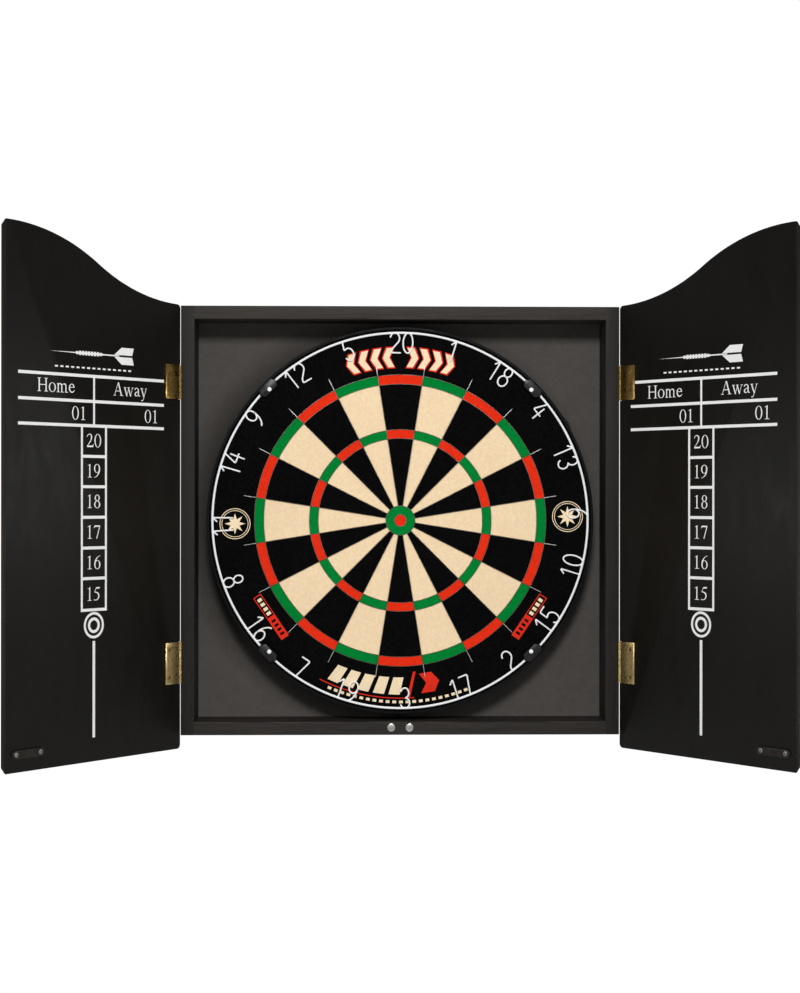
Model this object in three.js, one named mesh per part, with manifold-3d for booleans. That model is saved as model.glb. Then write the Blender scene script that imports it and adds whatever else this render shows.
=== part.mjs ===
// Dart board cabinet: a shallow square cabinet with two arched doors, and a bristle dart board that
// hangs on a three-armed bracket inside it. Millimetres. +Z is up, +X is to the right of someone
// facing the open front, and the front faces -Y. The origin is the centre of the rear face, which
// lies against the wall. The doors are drawn open, as they stand in use.

import * as THREE from 'three';
import { mergeVertices } from 'three/addons/utils/BufferGeometryUtils.js';
import Module from 'manifold-3d';

const wasm = await Module();
wasm.setup();

// ---------------------------------------------------------------- driving dimensions
const fitGap = 0.3;               // clearance between pieces that touch

const cabinet = { width: 508, height: 498, depth: 60, board: 15, back: 5, ease: 0.8 };

const door = {
  width: 255.7,                   // from hinge edge to free edge
  edgeFromPin: -1.2,              // hinge edge, measured from the hinge pin
  reliefEdge: 0.5,                // the same edge beside a hinge, cut back to clear the cabinet's leaf
  faceBehindPin: 0.3,             // inner face, measured from the pin towards the cabinet
  thickness: 15,
  bottom: -264,                   // height of the bottom edge, below the cabinet's own
  hingeTop: 250,                  // top edge at the hinge, level with the cabinet
  freeTop: 319.5,                 // top edge at the free end of the ogee
  ogeeRun: 251.7,                  // width of the S-shaped sweep
  ogeeSteps: 14,                  // straight steps in each of its two arcs
  cornerRadius: 5,                // corners at the hinge
  freeCornerRadius: 1.2,          // corners at the free edge
  leastRadius: 0.3,               // what a corner keeps where the moulding draws in past its radius
};
// Edge moulding of a door: [depth from the inner face, how far the outline has drawn in].
const doorMoulding = [[0, 0.5], [0.5, 0], [12, 4.2], [14.1, 5.5], [15, 7]];
const openAngle = { left: 130, right: 128.5 };

const hinge = {
  pinOutside: 1.5,                // pin axis, outside the cabinet's side face
  pinInFront: 2.1,                // pin axis, in front of the cabinet's front edge
  pinRadius: 1.1, boreRadius: 1.4, knuckleRadius: 2.3,
  leafThickness: 1.2, leafReach: 24, knuckles: 5, screwReach: 18, screwSpread: 0.33,
  plateGap: 0.4,                  // from the knuckle to the edge of the plate
  tongueOverlap: 0.2,             // how far a knuckle's tongue runs into the plate
};
const hingePlaces = { upper: { centre: 160, height: 40 }, lower: { centre: -164.5, height: 48 } };

// A countersunk hole is this much larger all round than its screw, whose rim stands this high.
const holeClearance = 0.15;
const screwRim = 0.2;
const screwPoint = { length: 1.8, blunt: 0.4 };
const leafScrew = { headRadius: 2.5, shankRadius: 1.15, headDepth: 1.0, length: 10 };
const plateScrew = { headRadius: 2.6, shankRadius: 1.15, headDepth: 1.0, length: 9 };
const strikePlate = { length: 45, width: 9, thickness: 1.1, reach: 224, height: -245, screwPitch: 33 };
const magnet = { radius: 4.8, length: 10, spacing: 21.2, height: -240.5, proud: 0.2 };

const dartBoard = {
  radius: 225.6, band: 3.3, thickness: 38, backing: 10, standOff: 14.5,
  double: [159, 170], triple: [95.7, 106], outerBull: 17, bull: 6.9,
  bladeEnd: 185, sectors: 20,
};
const spiderWire = { width: 1, height: 1.2 };
const hub = { radius: 14, depth: 7.7, clearance: 0.4 };

const bracket = { thickness: 3.5, hubRadius: 42, armWidth: 30, armStart: 18, wheelReach: 215, endRadius: 11 };
const bracketScrew = { reach: 105, headRadius: 4, headHeight: 2, shankRadius: 1.8 };
const wheel = { radius: 17.5, thickness: 5.1, studRadius: 3, holeRadius: 3.4, grips: 12, gripDepth: 0.9 };
const armAngles = [30, 150, 270];

const numberRing = { radius: 218.6, wire: 1.35, digitWire: 0.95, digitHeight: 23.5, digitWidth: 12.8 };
const digitPitch = 15;            // between the two digits of one number, along the ring
const numbers = [20, 1, 18, 4, 13, 6, 10, 15, 2, 17, 3, 19, 7, 16, 8, 11, 14, 9, 12, 5];
// The numbers are welded on by hand: how far each sits to one side, in degrees anticlockwise.
const strays = [-0.3, 0.9, 1.9, 2.5, 3.2, 2.3, 3, 1.6, 2, 1.8, 1.5, 0.3, 2, 1.2, 1.9, 1.6,
  -0.6, 1, -0.1, -0.8];

const clip = { length: 26, inner: 212, outer: 223.5, foot: 220.8, roof: 1.5, pinReach: 215.5,
  corner: 4, footInset: 5, overWire: 0.5 };
const clipPin = { headRadius: 2.5, headHeight: 0.8, shankRadius: 1.1, shankLength: 1.2 };

// How many flat facets stand for one full turn of each kind of round surface.
const facets = { board: 60, hub: 24, small: 12, fine: 8, wire: 6, digit: 4 };

// Levels along Y that several pieces share.
const frontY = -cabinet.depth;
const boardBackY = -dartBoard.standOff;
const boardFaceY = boardBackY - dartBoard.thickness;
const bandProud = 0.4;            // how far the rim band stands in front of the sisal
const ringY = boardFaceY - bandProud - numberRing.wire;
const roofBackY = ringY - numberRing.wire - clip.overWire;
const bracketBackY = -cabinet.back - fitGap;
const bracketFrontY = bracketBackY - bracket.thickness;
const pinX = cabinet.width / 2 + hinge.pinOutside;
const pinY = frontY - hinge.pinInFront;

// ---------------------------------------------------------------- looks
const looks = {
  carcass: { color: 0x3b3835, roughness: 0.62, metalness: 0 },
  backPanel: { color: 0x474440, roughness: 0.7, metalness: 0 },
  door: { color: 0x161512, roughness: 0.45, metalness: 0 },
  brass: { color: 0x7a6435, roughness: 0.35, metalness: 1 },
  steel: { color: 0xb9b9b6, roughness: 0.3, metalness: 1 },
  darkSteel: { color: 0x4a4846, roughness: 0.45, metalness: 1 },
  blackPlastic: { color: 0x1b1a1c, roughness: 0.4, metalness: 0 },
  whiteWire: { color: 0xf4f4f2, roughness: 0.4, metalness: 0 },
  sisal: { color: 0x100f0f, roughness: 0.9, metalness: 0 },
  rim: { color: 0x0d0d0d, roughness: 0.5, metalness: 0.2 },
  backing: { color: 0x8a6f4e, roughness: 0.85, metalness: 0 },
};

// ---------------------------------------------------------------- helpers
const rad = THREE.MathUtils.degToRad;

function part(parent, name, geometry, look) {
  const mesh = new THREE.Mesh(geometry, new THREE.MeshStandardMaterial(looks[look]));
  mesh.name = name;
  parent.add(mesh);
  return mesh;
}

function toSolid(geometry) {
  const bare = geometry.clone();
  bare.deleteAttribute('normal');
  bare.deleteAttribute('uv');
  const merged = mergeVertices(bare, 1e-4);
  const vertProperties = new Float32Array(merged.attributes.position.array);
  const triVerts = new Uint32Array(merged.index.array);
  return new wasm.Manifold(new wasm.Mesh({ numProp: 3, vertProperties, triVerts }));
}

function toGeometry(solid) {
  const mesh = solid.getMesh();
  const geometry = new THREE.BufferGeometry();
  geometry.setAttribute('position', new THREE.BufferAttribute(new Float32Array(mesh.vertProperties), 3));
  geometry.setIndex(new THREE.BufferAttribute(new Uint32Array(mesh.triVerts), 1));
  geometry.computeVertexNormals();
  return geometry;
}

function join(geometries) {
  return geometries.map(toSolid).reduce((whole, piece) => whole.add(piece));
}

function cut(solid, geometries) {
  return geometries.map(toSolid).reduce((whole, piece) => whole.subtract(piece), solid);
}

// A box given by its lowest and highest corners.
function block(low, high) {
  const size = high.map((value, axis) => value - low[axis]);
  const centre = high.map((value, axis) => (value + low[axis]) / 2);
  return new THREE.BoxGeometry(...size).translate(...centre);
}

// A board with every edge eased, given by its lowest and highest corners.
function easedBoard(low, high, ease) {
  const [sizeX, sizeY, sizeZ] = high.map((value, axis) => value - low[axis]);
  const halfX = sizeX / 2;
  const halfY = sizeY / 2;
  const outline = new THREE.Shape([
    new THREE.Vector2(-halfX + ease, -halfY), new THREE.Vector2(halfX - ease, -halfY),
    new THREE.Vector2(halfX, -halfY + ease), new THREE.Vector2(halfX, halfY - ease),
    new THREE.Vector2(halfX - ease, halfY), new THREE.Vector2(-halfX + ease, halfY),
    new THREE.Vector2(-halfX, halfY - ease), new THREE.Vector2(-halfX, -halfY + ease),
  ]);
  const solid = new THREE.ExtrudeGeometry(outline, {
    depth: sizeZ - 2 * ease, steps: 1, bevelEnabled: true, bevelSegments: 1,
    bevelThickness: ease, bevelSize: ease, bevelOffset: -ease,
  });
  const centre = high.map((value, axis) => (value + low[axis]) / 2);
  return solid.translate(centre[0], centre[1], low[2] + ease);
}

// A solid of revolution about Y from a profile of [radius, y], listed with y rising on the outside.
function turned(profile, segments) {
  return new THREE.LatheGeometry(profile.map(([r, y]) => new THREE.Vector2(r, y)), segments);
}

function disc(radius, fromY, toY, segments) {
  return turned([[0, fromY], [radius, fromY], [radius, toY], [0, toY]], segments);
}

function annulus(inner, outer, fromY, toY, segments) {
  const profile = [[inner, fromY], [outer, fromY], [outer, toY], [inner, toY], [inner, fromY]];
  return turned(profile, segments);
}

// The mirror image of a geometry across the YZ plane, still facing outwards.
function mirrored(geometry) {
  const twin = geometry.index ? geometry.toNonIndexed() : geometry.clone();
  const position = twin.attributes.position;
  for (let start = 0; start < position.count; start += 3) {
    const corners = [0, 2, 1].map((step) => {
      return new THREE.Vector3().fromBufferAttribute(position, start + step);
    });
    corners.forEach((corner, step) => position.setXYZ(start + step, -corner.x, corner.y, corner.z));
  }
  twin.computeVertexNormals();
  return twin;
}

// Round wire bent along points in the XZ plane at one Y level. A closed wire joins its own end.
function bentWire(points, y, radius, closed, sides) {
  const count = points.length;
  const positions = [];
  points.forEach((point, i) => {
    const before = closed ? points[(i + count - 1) % count] : points[Math.max(i - 1, 0)];
    const after = closed ? points[(i + 1) % count] : points[Math.min(i + 1, count - 1)];
    const arriving = point.clone().sub(before).normalize();
    const leaving = after.clone().sub(point).normalize();
    const along = arriving.clone().add(leaving).normalize();
    const straight = arriving.lengthSq() > 0 && leaving.lengthSq() > 0;
    const stretch = straight ? 1 / Math.max(arriving.dot(along), 0.55) : 1;
    const across = new THREE.Vector2(-along.y, along.x).multiplyScalar(radius * stretch);
    for (let side = 0; side < sides; side += 1) {
      const turn = (2 * Math.PI * (side + 0.5)) / sides;
      const x = point.x + across.x * Math.cos(turn);
      const z = point.y + across.y * Math.cos(turn);
      positions.push(x, y + radius * Math.sin(turn), z);
    }
  });
  const index = [];
  const spans = closed ? count : count - 1;
  for (let i = 0; i < spans; i += 1) {
    const here = i * sides;
    const next = ((i + 1) % count) * sides;
    for (let side = 0; side < sides; side += 1) {
      const beside = (side + 1) % sides;
      index.push(here + side, next + side, next + beside, here + side, next + beside, here + beside);
    }
  }
  if (!closed) {
    const last = (count - 1) * sides;
    for (let side = 1; side < sides - 1; side += 1) {
      index.push(0, side, side + 1, last, last + side + 1, last + side);
    }
  }
  const geometry = new THREE.BufferGeometry();
  geometry.setAttribute('position', new THREE.BufferAttribute(new Float32Array(positions), 3));
  geometry.setIndex(index);
  geometry.computeVertexNormals();
  return geometry;
}

// Points of an elliptical arc, both ends included.
function arc(centreX, centreZ, radiusX, radiusZ, fromDegrees, toDegrees, steps) {
  return Array.from({ length: steps + 1 }, (unused, i) => {
    const angle = rad(fromDegrees + ((toDegrees - fromDegrees) * i) / steps);
    return new THREE.Vector2(centreX + radiusX * Math.cos(angle), centreZ + radiusZ * Math.sin(angle));
  });
}

// ---------------------------------------------------------------- screws
// A countersunk screw along Y, its flat head at y = 0 and its point towards -Y. A hole for it is the
// same shape, larger all round.
function countersunk(screw, larger = 0) {
  const shank = screw.shankRadius + larger;
  const neck = -screw.headDepth - larger;
  return turned([
    [0, -screw.length - larger], [shank * screwPoint.blunt, -screw.length - larger],
    [shank, -screw.length + screwPoint.length - larger], [shank, neck],
    [screw.headRadius + larger, -screwRim], [screw.headRadius + larger, larger], [0, larger],
  ], facets.fine);
}

// ---------------------------------------------------------------- carcass
function magnetAxis(side) {
  return { x: (side * magnet.spacing) / 2, z: magnet.height };
}

function buildCarcass(group) {
  const halfWidth = cabinet.width / 2;
  const halfHeight = cabinet.height / 2;
  const innerX = halfWidth - cabinet.board - fitGap;
  const innerZ = halfHeight - cabinet.board;

  for (const [name, side] of [['cabinet_side_left', -1], ['cabinet_side_right', 1]]) {
    const inner = side * (halfWidth - cabinet.board);
    const outer = side * halfWidth;
    const low = [Math.min(inner, outer), frontY, -halfHeight];
    const high = [Math.max(inner, outer), 0, halfHeight];
    part(group, name, toGeometry(cut(toSolid(easedBoard(low, high, cabinet.ease)), leafPilotHoles(side))),
      'carcass');
  }

  part(group, 'cabinet_top', easedBoard([-innerX, frontY, innerZ], [innerX, 0, halfHeight], cabinet.ease),
    'carcass');

  const rail = easedBoard([-innerX, frontY, -halfHeight], [innerX, 0, -innerZ], cabinet.ease);
  const sockets = [-1, 1].map((side) => {
    const axis = magnetAxis(side);
    const mouth = frontY - 1;
    return disc(magnet.radius + fitGap, mouth, frontY + magnet.length + fitGap, facets.hub)
      .translate(axis.x, 0, axis.z);
  });
  part(group, 'cabinet_bottom', toGeometry(cut(toSolid(rail), sockets)), 'carcass');

  const panel = block([-innerX, -cabinet.back, -innerZ + fitGap], [innerX, 0, innerZ - fitGap]);
  const pilots = armAngles.map((angle) => {
    return disc(bracketScrew.shankRadius + fitGap, -cabinet.back - 1, -0.6, facets.fine)
      .translate(bracketScrew.reach * Math.cos(rad(angle)), 0, bracketScrew.reach * Math.sin(rad(angle)));
  });
  part(group, 'back_panel', toGeometry(cut(toSolid(panel), pilots)), 'backPanel');

  for (const [name, side] of [['magnet_left', -1], ['magnet_right', 1]]) {
    const axis = magnetAxis(side);
    const solid = turned([
      [0, frontY - magnet.proud], [magnet.radius - 0.5, frontY - magnet.proud],
      [magnet.radius, frontY - magnet.proud + 0.5], [magnet.radius, frontY + magnet.length],
      [0, frontY + magnet.length],
    ], facets.hub);
    part(group, name, solid, 'steel').position.set(axis.x, 0, axis.z);
  }
}

// ---------------------------------------------------------------- hinges
// A knuckle is one of five short tubes stacked along the pin. Even ones belong to the cabinet's leaf.
function knuckleSpans(place, parity) {
  const pitch = place.height / hinge.knuckles;
  const bottom = place.centre - place.height / 2;
  const spans = [];
  for (let i = parity; i < hinge.knuckles; i += 2) {
    spans.push([bottom + i * pitch + fitGap / 2, bottom + (i + 1) * pitch - fitGap / 2]);
  }
  return spans;
}

function upright(radius, fromZ, toZ, segments) {
  const length = toZ - fromZ;
  return new THREE.CylinderGeometry(radius, radius, length, segments)
    .rotateX(Math.PI / 2)
    .translate(0, 0, fromZ + length / 2);
}

function leafScrewHeights(place) {
  return [-1, 1].map((end) => place.centre + end * hinge.screwSpread * place.height);
}

// A leaf lies along +X from a pin at the origin. Its plate spans nearY to farY, and the screws enter
// it from the farY side, which is the side that shows.
function leaf(place, parity, nearY, farY) {
  const plateStart = hinge.knuckleRadius + hinge.plateGap;
  const bottom = place.centre - place.height / 2;
  const top = place.centre + place.height / 2;
  const pieces = [block([plateStart, nearY, bottom], [hinge.leafReach, farY, top])];
  for (const [low, high] of knuckleSpans(place, parity)) {
    pieces.push(upright(hinge.knuckleRadius, low, high, facets.small));
    pieces.push(block([hinge.boreRadius + holeClearance, nearY, low],
      [plateStart + hinge.tongueOverlap, farY, high]));
  }
  const holes = [upright(hinge.boreRadius, bottom - 1, top + 1, facets.fine)];
  for (const height of leafScrewHeights(place)) {
    holes.push(countersunk(leafScrew, holeClearance).translate(hinge.screwReach, farY, height));
  }
  return cut(join(pieces), holes);
}

// The cabinet's leaf lies against the side of the carcass: the plain leaf turned to run towards +Y.
function cabinetLeaf(place) {
  const seat = hinge.pinOutside - fitGap;
  const geometry = toGeometry(leaf(place, 0, -seat, hinge.leafThickness - seat));
  return geometry.rotateZ(Math.PI / 2);
}

// The door's leaf lies on the door's inner face, on the side of the pin that faces the cabinet.
function doorLeaf(place) {
  const near = door.faceBehindPin + fitGap;
  return toGeometry(leaf(place, 1, near, near + hinge.leafThickness));
}

function hingePin(place) {
  const top = place.centre + place.height / 2;
  return upright(hinge.pinRadius, place.centre - place.height / 2, top, facets.fine);
}

// Pilot holes in a side of the carcass for the screws of the two leaves on it.
function leafPilotHoles(side) {
  const holes = [];
  for (const place of Object.values(hingePlaces)) {
    for (const height of leafScrewHeights(place)) {
      const hole = disc(leafScrew.shankRadius + fitGap, -leafScrew.length, 2, facets.fine)
        .rotateZ(side < 0 ? Math.PI / 2 : -Math.PI / 2)
        .translate((side * cabinet.width) / 2, pinY + hinge.screwReach, height);
      holes.push(hole);
    }
  }
  return holes;
}

function buildCabinetHinges(group) {
  for (const [sideName, side] of [['left', -1], ['right', 1]]) {
    for (const [placeName, place] of Object.entries(hingePlaces)) {
      const name = `hinge_${sideName}_${placeName}`;
      const plate = side < 0 ? cabinetLeaf(place) : mirrored(cabinetLeaf(place));
      part(group, `${name}_cabinet_leaf`, plate, 'brass').position.set(side * pinX, pinY, 0);
      part(group, `${name}_pin`, hingePin(place), 'brass').position.set(side * pinX, pinY, 0);
    }
  }
}

// ---------------------------------------------------------------- doors
// The outline of a door drawn in by an equal distance, anticlockwise, with x along the door from the
// pin and y upwards. Two equal arcs meet in the middle of the sweep to make the S-shaped top edge.
function doorOutline(inset) {
  const hingeX = door.edgeFromPin;
  const freeX = hingeX + door.width;
  const halfRun = door.ogeeRun / 2;
  const halfRise = (door.freeTop - door.hingeTop) / 2;
  const sweep = 2 * Math.atan2(halfRise, halfRun);
  const radius = halfRun / Math.sin(sweep);
  const degrees = THREE.MathUtils.radToDeg(sweep);
  const convex = radius - inset;
  const hollow = radius + inset;
  const ogeeX = hingeX + door.ogeeRun;
  const cornerSpan = Math.max(door.freeCornerRadius, inset + door.leastRadius);
  const startX = Math.min(ogeeX, freeX - cornerSpan - door.leastRadius);
  const startAngle = 90 + THREE.MathUtils.radToDeg(Math.asin((ogeeX - startX) / convex));
  const upper = arc(ogeeX, door.freeTop - radius, convex, convex, startAngle, 90 + degrees, door.ogeeSteps);
  const lower = arc(hingeX, door.hingeTop + radius, hollow, hollow, degrees - 90, -90, door.ogeeSteps)
    .slice(1, -2);
  const corner = (x, y, fullRadius, from, steps) => {
    const bend = Math.max(fullRadius - inset, door.leastRadius);
    const towardsX = Math.sign(hingeX + freeX - 2 * x);
    const towardsY = Math.sign(door.bottom + door.hingeTop - 2 * y);
    const shift = inset + bend;
    return arc(x + towardsX * shift, y + towardsY * shift, bend, bend, from, from + 90, steps);
  };
  return [
    ...corner(hingeX, door.bottom, door.cornerRadius, 180, 4),
    ...corner(freeX, door.bottom, door.freeCornerRadius, 270, 2),
    ...corner(freeX, door.freeTop, door.freeCornerRadius, 0, 2),
    ...upper,
    ...lower,
    ...corner(hingeX, door.hingeTop, door.cornerRadius, 90, 4),
  ];
}

// The left door, closed, with the hinge pin at the origin: rings of the outline, one for each step of
// the edge moulding, from the inner face out towards -Y.
function doorPanel() {
  const outline = doorOutline(0);
  const count = outline.length;
  const positions = [];
  for (const [depth, inset] of doorMoulding) {
    for (const point of doorOutline(inset)) {
      positions.push(point.x, door.faceBehindPin - depth, point.y);
    }
  }
  const index = [];
  for (let level = 0; level < doorMoulding.length - 1; level += 1) {
    for (let i = 0; i < count; i += 1) {
      const here = level * count + i;
      const beside = level * count + ((i + 1) % count);
      index.push(here, beside, beside + count, here, beside + count, here + count);
    }
  }
  const last = (doorMoulding.length - 1) * count;
  for (const [a, b, c] of THREE.ShapeUtils.triangulateShape(outline, [])) {
    index.push(a, c, b);
    index.push(last + a, last + b, last + c);
  }
  const geometry = new THREE.BufferGeometry();
  geometry.setAttribute('position', new THREE.BufferAttribute(new Float32Array(positions), 3));
  geometry.setIndex(index);
  return geometry;
}

function strikeScrewPlaces() {
  return [-1, 1].map((end) => strikePlate.reach + (end * strikePlate.screwPitch) / 2);
}

function doorSolid() {
  const holes = [];
  for (const place of Object.values(hingePlaces)) {
    const reach = place.height / 2 + fitGap;
    holes.push(upright(hinge.knuckleRadius + fitGap, place.centre - reach, place.centre + reach,
      facets.small));
    holes.push(block([door.edgeFromPin - 1, -door.thickness - 1, place.centre - reach],
      [door.reliefEdge, 1, place.centre + reach]));
    for (const height of leafScrewHeights(place)) {
      holes.push(disc(leafScrew.shankRadius + fitGap, -leafScrew.length, 2, facets.fine)
        .translate(hinge.screwReach, door.faceBehindPin, height));
    }
  }
  for (const reach of strikeScrewPlaces()) {
    holes.push(disc(plateScrew.shankRadius + fitGap, -plateScrew.length, 2, facets.fine)
      .translate(reach, door.faceBehindPin, strikePlate.height));
  }
  return toGeometry(cut(toSolid(doorPanel()), holes));
}

// The strike plate is a flat bar with round ends, screwed to the door's inner face.
function strikePlateSolid() {
  const half = strikePlate.length / 2 - strikePlate.width / 2;
  const end = strikePlate.width / 2;
  const outline = new THREE.Shape([
    ...arc(half, 0, end, end, -90, 90, facets.small / 2),
    ...arc(-half, 0, end, end, 90, 270, facets.small / 2),
  ]);
  const bar = new THREE.ExtrudeGeometry(outline, { depth: strikePlate.thickness, bevelEnabled: false });
  const near = door.faceBehindPin + fitGap;
  bar.rotateX(Math.PI / 2).translate(strikePlate.reach, near + strikePlate.thickness, strikePlate.height);
  const holes = strikeScrewPlaces().map((reach) => {
    return countersunk(plateScrew, holeClearance)
      .translate(reach, near + strikePlate.thickness, strikePlate.height);
  });
  return toGeometry(cut(toSolid(bar), holes));
}

function buildDoor(group, sideName, side) {
  const hung = new THREE.Group();
  hung.position.set(side * pinX, pinY, 0);
  hung.rotation.z = side * rad(openAngle[sideName]);
  group.add(hung);
  const add = (name, geometry, look) => {
    part(hung, name, side < 0 ? geometry : mirrored(geometry), look);
  };

  add(`door_${sideName}`, doorSolid(), 'door');
  const leafFront = door.faceBehindPin + fitGap + hinge.leafThickness;
  for (const [placeName, place] of Object.entries(hingePlaces)) {
    const name = `hinge_${sideName}_${placeName}`;
    add(`${name}_door_leaf`, doorLeaf(place), 'brass');
    leafScrewHeights(place).forEach((height, i) => {
      const screw = countersunk(leafScrew).translate(hinge.screwReach, leafFront, height);
      add(`${name}_screw_${i + 1}`, screw, 'brass');
    });
  }
  const plateFront = door.faceBehindPin + fitGap + strikePlate.thickness;
  add(`strike_plate_${sideName}`, strikePlateSolid(), 'darkSteel');
  strikeScrewPlaces().forEach((reach, i) => {
    const screw = countersunk(plateScrew).translate(reach, plateFront, strikePlate.height);
    add(`strike_${sideName}_screw_${i + 1}`, screw, 'steel');
  });
}

// ---------------------------------------------------------------- bracket behind the board
function onArm(geometry, angle, reach) {
  return geometry.translate(reach * Math.cos(rad(angle)), 0, reach * Math.sin(rad(angle)));
}

function wallBracket() {
  const pieces = [disc(bracket.hubRadius, bracketFrontY, bracketBackY, facets.hub)];
  const holes = [disc(hub.radius + hub.clearance, bracketFrontY - 1, bracketBackY + 1, facets.hub)];
  for (const angle of armAngles) {
    const half = bracket.armWidth / 2;
    const taper = new THREE.Shape([
      new THREE.Vector2(bracket.armStart, -half), new THREE.Vector2(bracket.wheelReach, -bracket.endRadius),
      new THREE.Vector2(bracket.wheelReach, bracket.endRadius), new THREE.Vector2(bracket.armStart, half),
    ]);
    const arm = new THREE.ExtrudeGeometry(taper, { depth: bracket.thickness, bevelEnabled: false });
    pieces.push(arm.rotateX(Math.PI / 2).translate(0, bracketBackY, 0).rotateY(-rad(angle)));
    const end = disc(bracket.endRadius, bracketFrontY, bracketBackY, facets.small);
    pieces.push(onArm(end, angle, bracket.wheelReach));
    const studHole = disc(wheel.holeRadius, bracketFrontY - 1, bracketBackY + 1, facets.small);
    holes.push(onArm(studHole, angle, bracket.wheelReach));
    const screwHole = disc(bracketScrew.shankRadius + fitGap, bracketFrontY - 1, bracketBackY + 1,
      facets.fine);
    holes.push(onArm(screwHole, angle, bracketScrew.reach));
  }
  return toGeometry(cut(join(pieces), holes));
}

// A pan-headed screw that holds the bracket to the back panel.
function bracketScrewSolid() {
  const seat = bracketFrontY - fitGap;
  const face = seat - bracketScrew.headHeight;
  return turned([
    [0, face], [bracketScrew.headRadius - 1, face], [bracketScrew.headRadius, face + 1],
    [bracketScrew.headRadius, seat], [bracketScrew.shankRadius, seat], [bracketScrew.shankRadius, -1.4],
    [0, -0.9],
  ], facets.small);
}

// A levelling wheel: a grip-edged thumbwheel, whose stud turns in the end of a bracket arm.
function levellingWheel() {
  const points = [];
  const steps = wheel.grips * 4;
  for (let i = 0; i < steps; i += 1) {
    const angle = (2 * Math.PI * i) / steps;
    const scallop = wheel.radius - wheel.gripDepth * (1 - Math.cos(angle * wheel.grips)) / 2;
    points.push(new THREE.Vector2(scallop * Math.cos(angle), scallop * Math.sin(angle)));
  }
  const seat = bracketFrontY - fitGap;
  const rim = new THREE.ExtrudeGeometry(new THREE.Shape(points), {
    depth: wheel.thickness, bevelEnabled: false,
  });
  rim.rotateX(Math.PI / 2).translate(0, seat, 0);
  const stud = disc(wheel.studRadius, seat - 1, bracketBackY, facets.small);
  return toGeometry(join([rim, stud]));
}

function buildBracket(group) {
  part(group, 'wall_bracket', wallBracket(), 'blackPlastic');
  armAngles.forEach((angle, i) => {
    part(group, `bracket_screw_${i + 1}`, onArm(bracketScrewSolid(), angle, bracketScrew.reach), 'steel');
    part(group, `levelling_wheel_${i + 1}`, onArm(levellingWheel(), angle, bracket.wheelReach),
      'blackPlastic');
  });
}

// ---------------------------------------------------------------- dart board
// Radial blades and wire rings, each a thin ridge, welded into one frame on the face of the board.
function spider() {
  const back = boardFaceY - fitGap;
  const front = back - spiderWire.height;
  const half = spiderWire.width / 2;
  const pieces = [];
  for (const radius of [...dartBoard.double, ...dartBoard.triple, dartBoard.outerBull]) {
    const ridge = [[radius - half, back], [radius, front], [radius + half, back], [radius - half, back]];
    pieces.push(turned(ridge, dartBoard.sectors * 2));
  }
  const section = new THREE.Shape([
    new THREE.Vector2(-half, back), new THREE.Vector2(0, front), new THREE.Vector2(half, back),
  ]);
  const bladeLength = dartBoard.bladeEnd - dartBoard.outerBull;
  for (let sector = 0; sector < dartBoard.sectors; sector += 1) {
    const angle = ((sector + 0.5) * 360) / dartBoard.sectors;
    pieces.push(new THREE.ExtrudeGeometry(section, { depth: bladeLength, bevelEnabled: false })
      .translate(0, 0, dartBoard.outerBull)
      .rotateY(rad(angle)));
  }
  return toGeometry(join(pieces));
}

function buildBoard(group) {
  const coreRadius = dartBoard.radius - dartBoard.band - fitGap;
  const backingFrontY = boardBackY - dartBoard.backing;
  part(group, 'board_backing', disc(coreRadius, backingFrontY, boardBackY, facets.board), 'backing');
  part(group, 'sisal_face', disc(coreRadius, boardFaceY, backingFrontY - fitGap, facets.board), 'sisal');
  const band = annulus(dartBoard.radius - dartBoard.band, dartBoard.radius, boardFaceY - bandProud,
    boardBackY, facets.board);
  part(group, 'rim_band', band, 'rim');
  const hubBack = boardBackY + fitGap;
  part(group, 'board_hub', turned([
    [0, hubBack], [hub.radius, hubBack], [hub.radius, hubBack + hub.depth - 1.5],
    [hub.radius - 1.5, hubBack + hub.depth], [0, hubBack + hub.depth],
  ], facets.hub), 'blackPlastic');
  part(group, 'spider', spider(), 'steel');
  const wireBack = boardFaceY - fitGap;
  part(group, 'bull_ring', annulus(dartBoard.bull - 0.5, dartBoard.bull + 0.5,
    wireBack - spiderWire.height, wireBack, facets.hub), 'steel');
}

// ---------------------------------------------------------------- number ring
// Strokes of each digit, in a cell one unit wide and one high, with its foot at zero height. Each
// stroke is a list of points; a closed one joins its own end.
function digitStrokes(digit) {
  const at = (x, z) => new THREE.Vector2(x, z);
  const open = (...points) => ({ points, closed: false });
  const loop = (x, z, radiusX, radiusZ) => {
    return { points: arc(x, z, radiusX, radiusZ, 0, 324, 9), closed: true };
  };
  const shapes = {
    0: [loop(0, 0.5, 0.44, 0.5)],
    1: [open(at(-0.22, 0.8), at(0.1, 1), at(0.1, 0))],
    2: [open(...arc(0, 0.73, 0.42, 0.27, 165, -40, 7), at(-0.3, 0.18), at(-0.38, 0), at(0.45, 0))],
    3: [open(...arc(0, 0.75, 0.36, 0.25, 160, -80, 7), ...arc(0, 0.25, 0.42, 0.25, 80, -160, 7))],
    4: [open(at(0.08, 1), at(-0.44, 0.34), at(0.46, 0.34)), open(at(0.2, 0.72), at(0.2, 0))],
    5: [open(at(0.36, 1), at(-0.28, 1), at(-0.34, 0.54), ...arc(0, 0.31, 0.42, 0.31, 115, -150, 8))],
    6: [loop(0, 0.29, 0.4, 0.29), open(...arc(0.38, 0.3, 0.78, 0.7, 180, 105, 4))],
    7: [open(at(-0.42, 0.99), at(0.4, 0.99), at(0.02, 0))],
    8: [loop(0, 0.27, 0.42, 0.27), loop(0, 0.77, 0.34, 0.23)],
    9: [loop(0, 0.71, 0.4, 0.29), open(...arc(-0.38, 0.7, 0.78, 0.7, 0, -75, 5))],
  };
  return shapes[digit];
}

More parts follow.
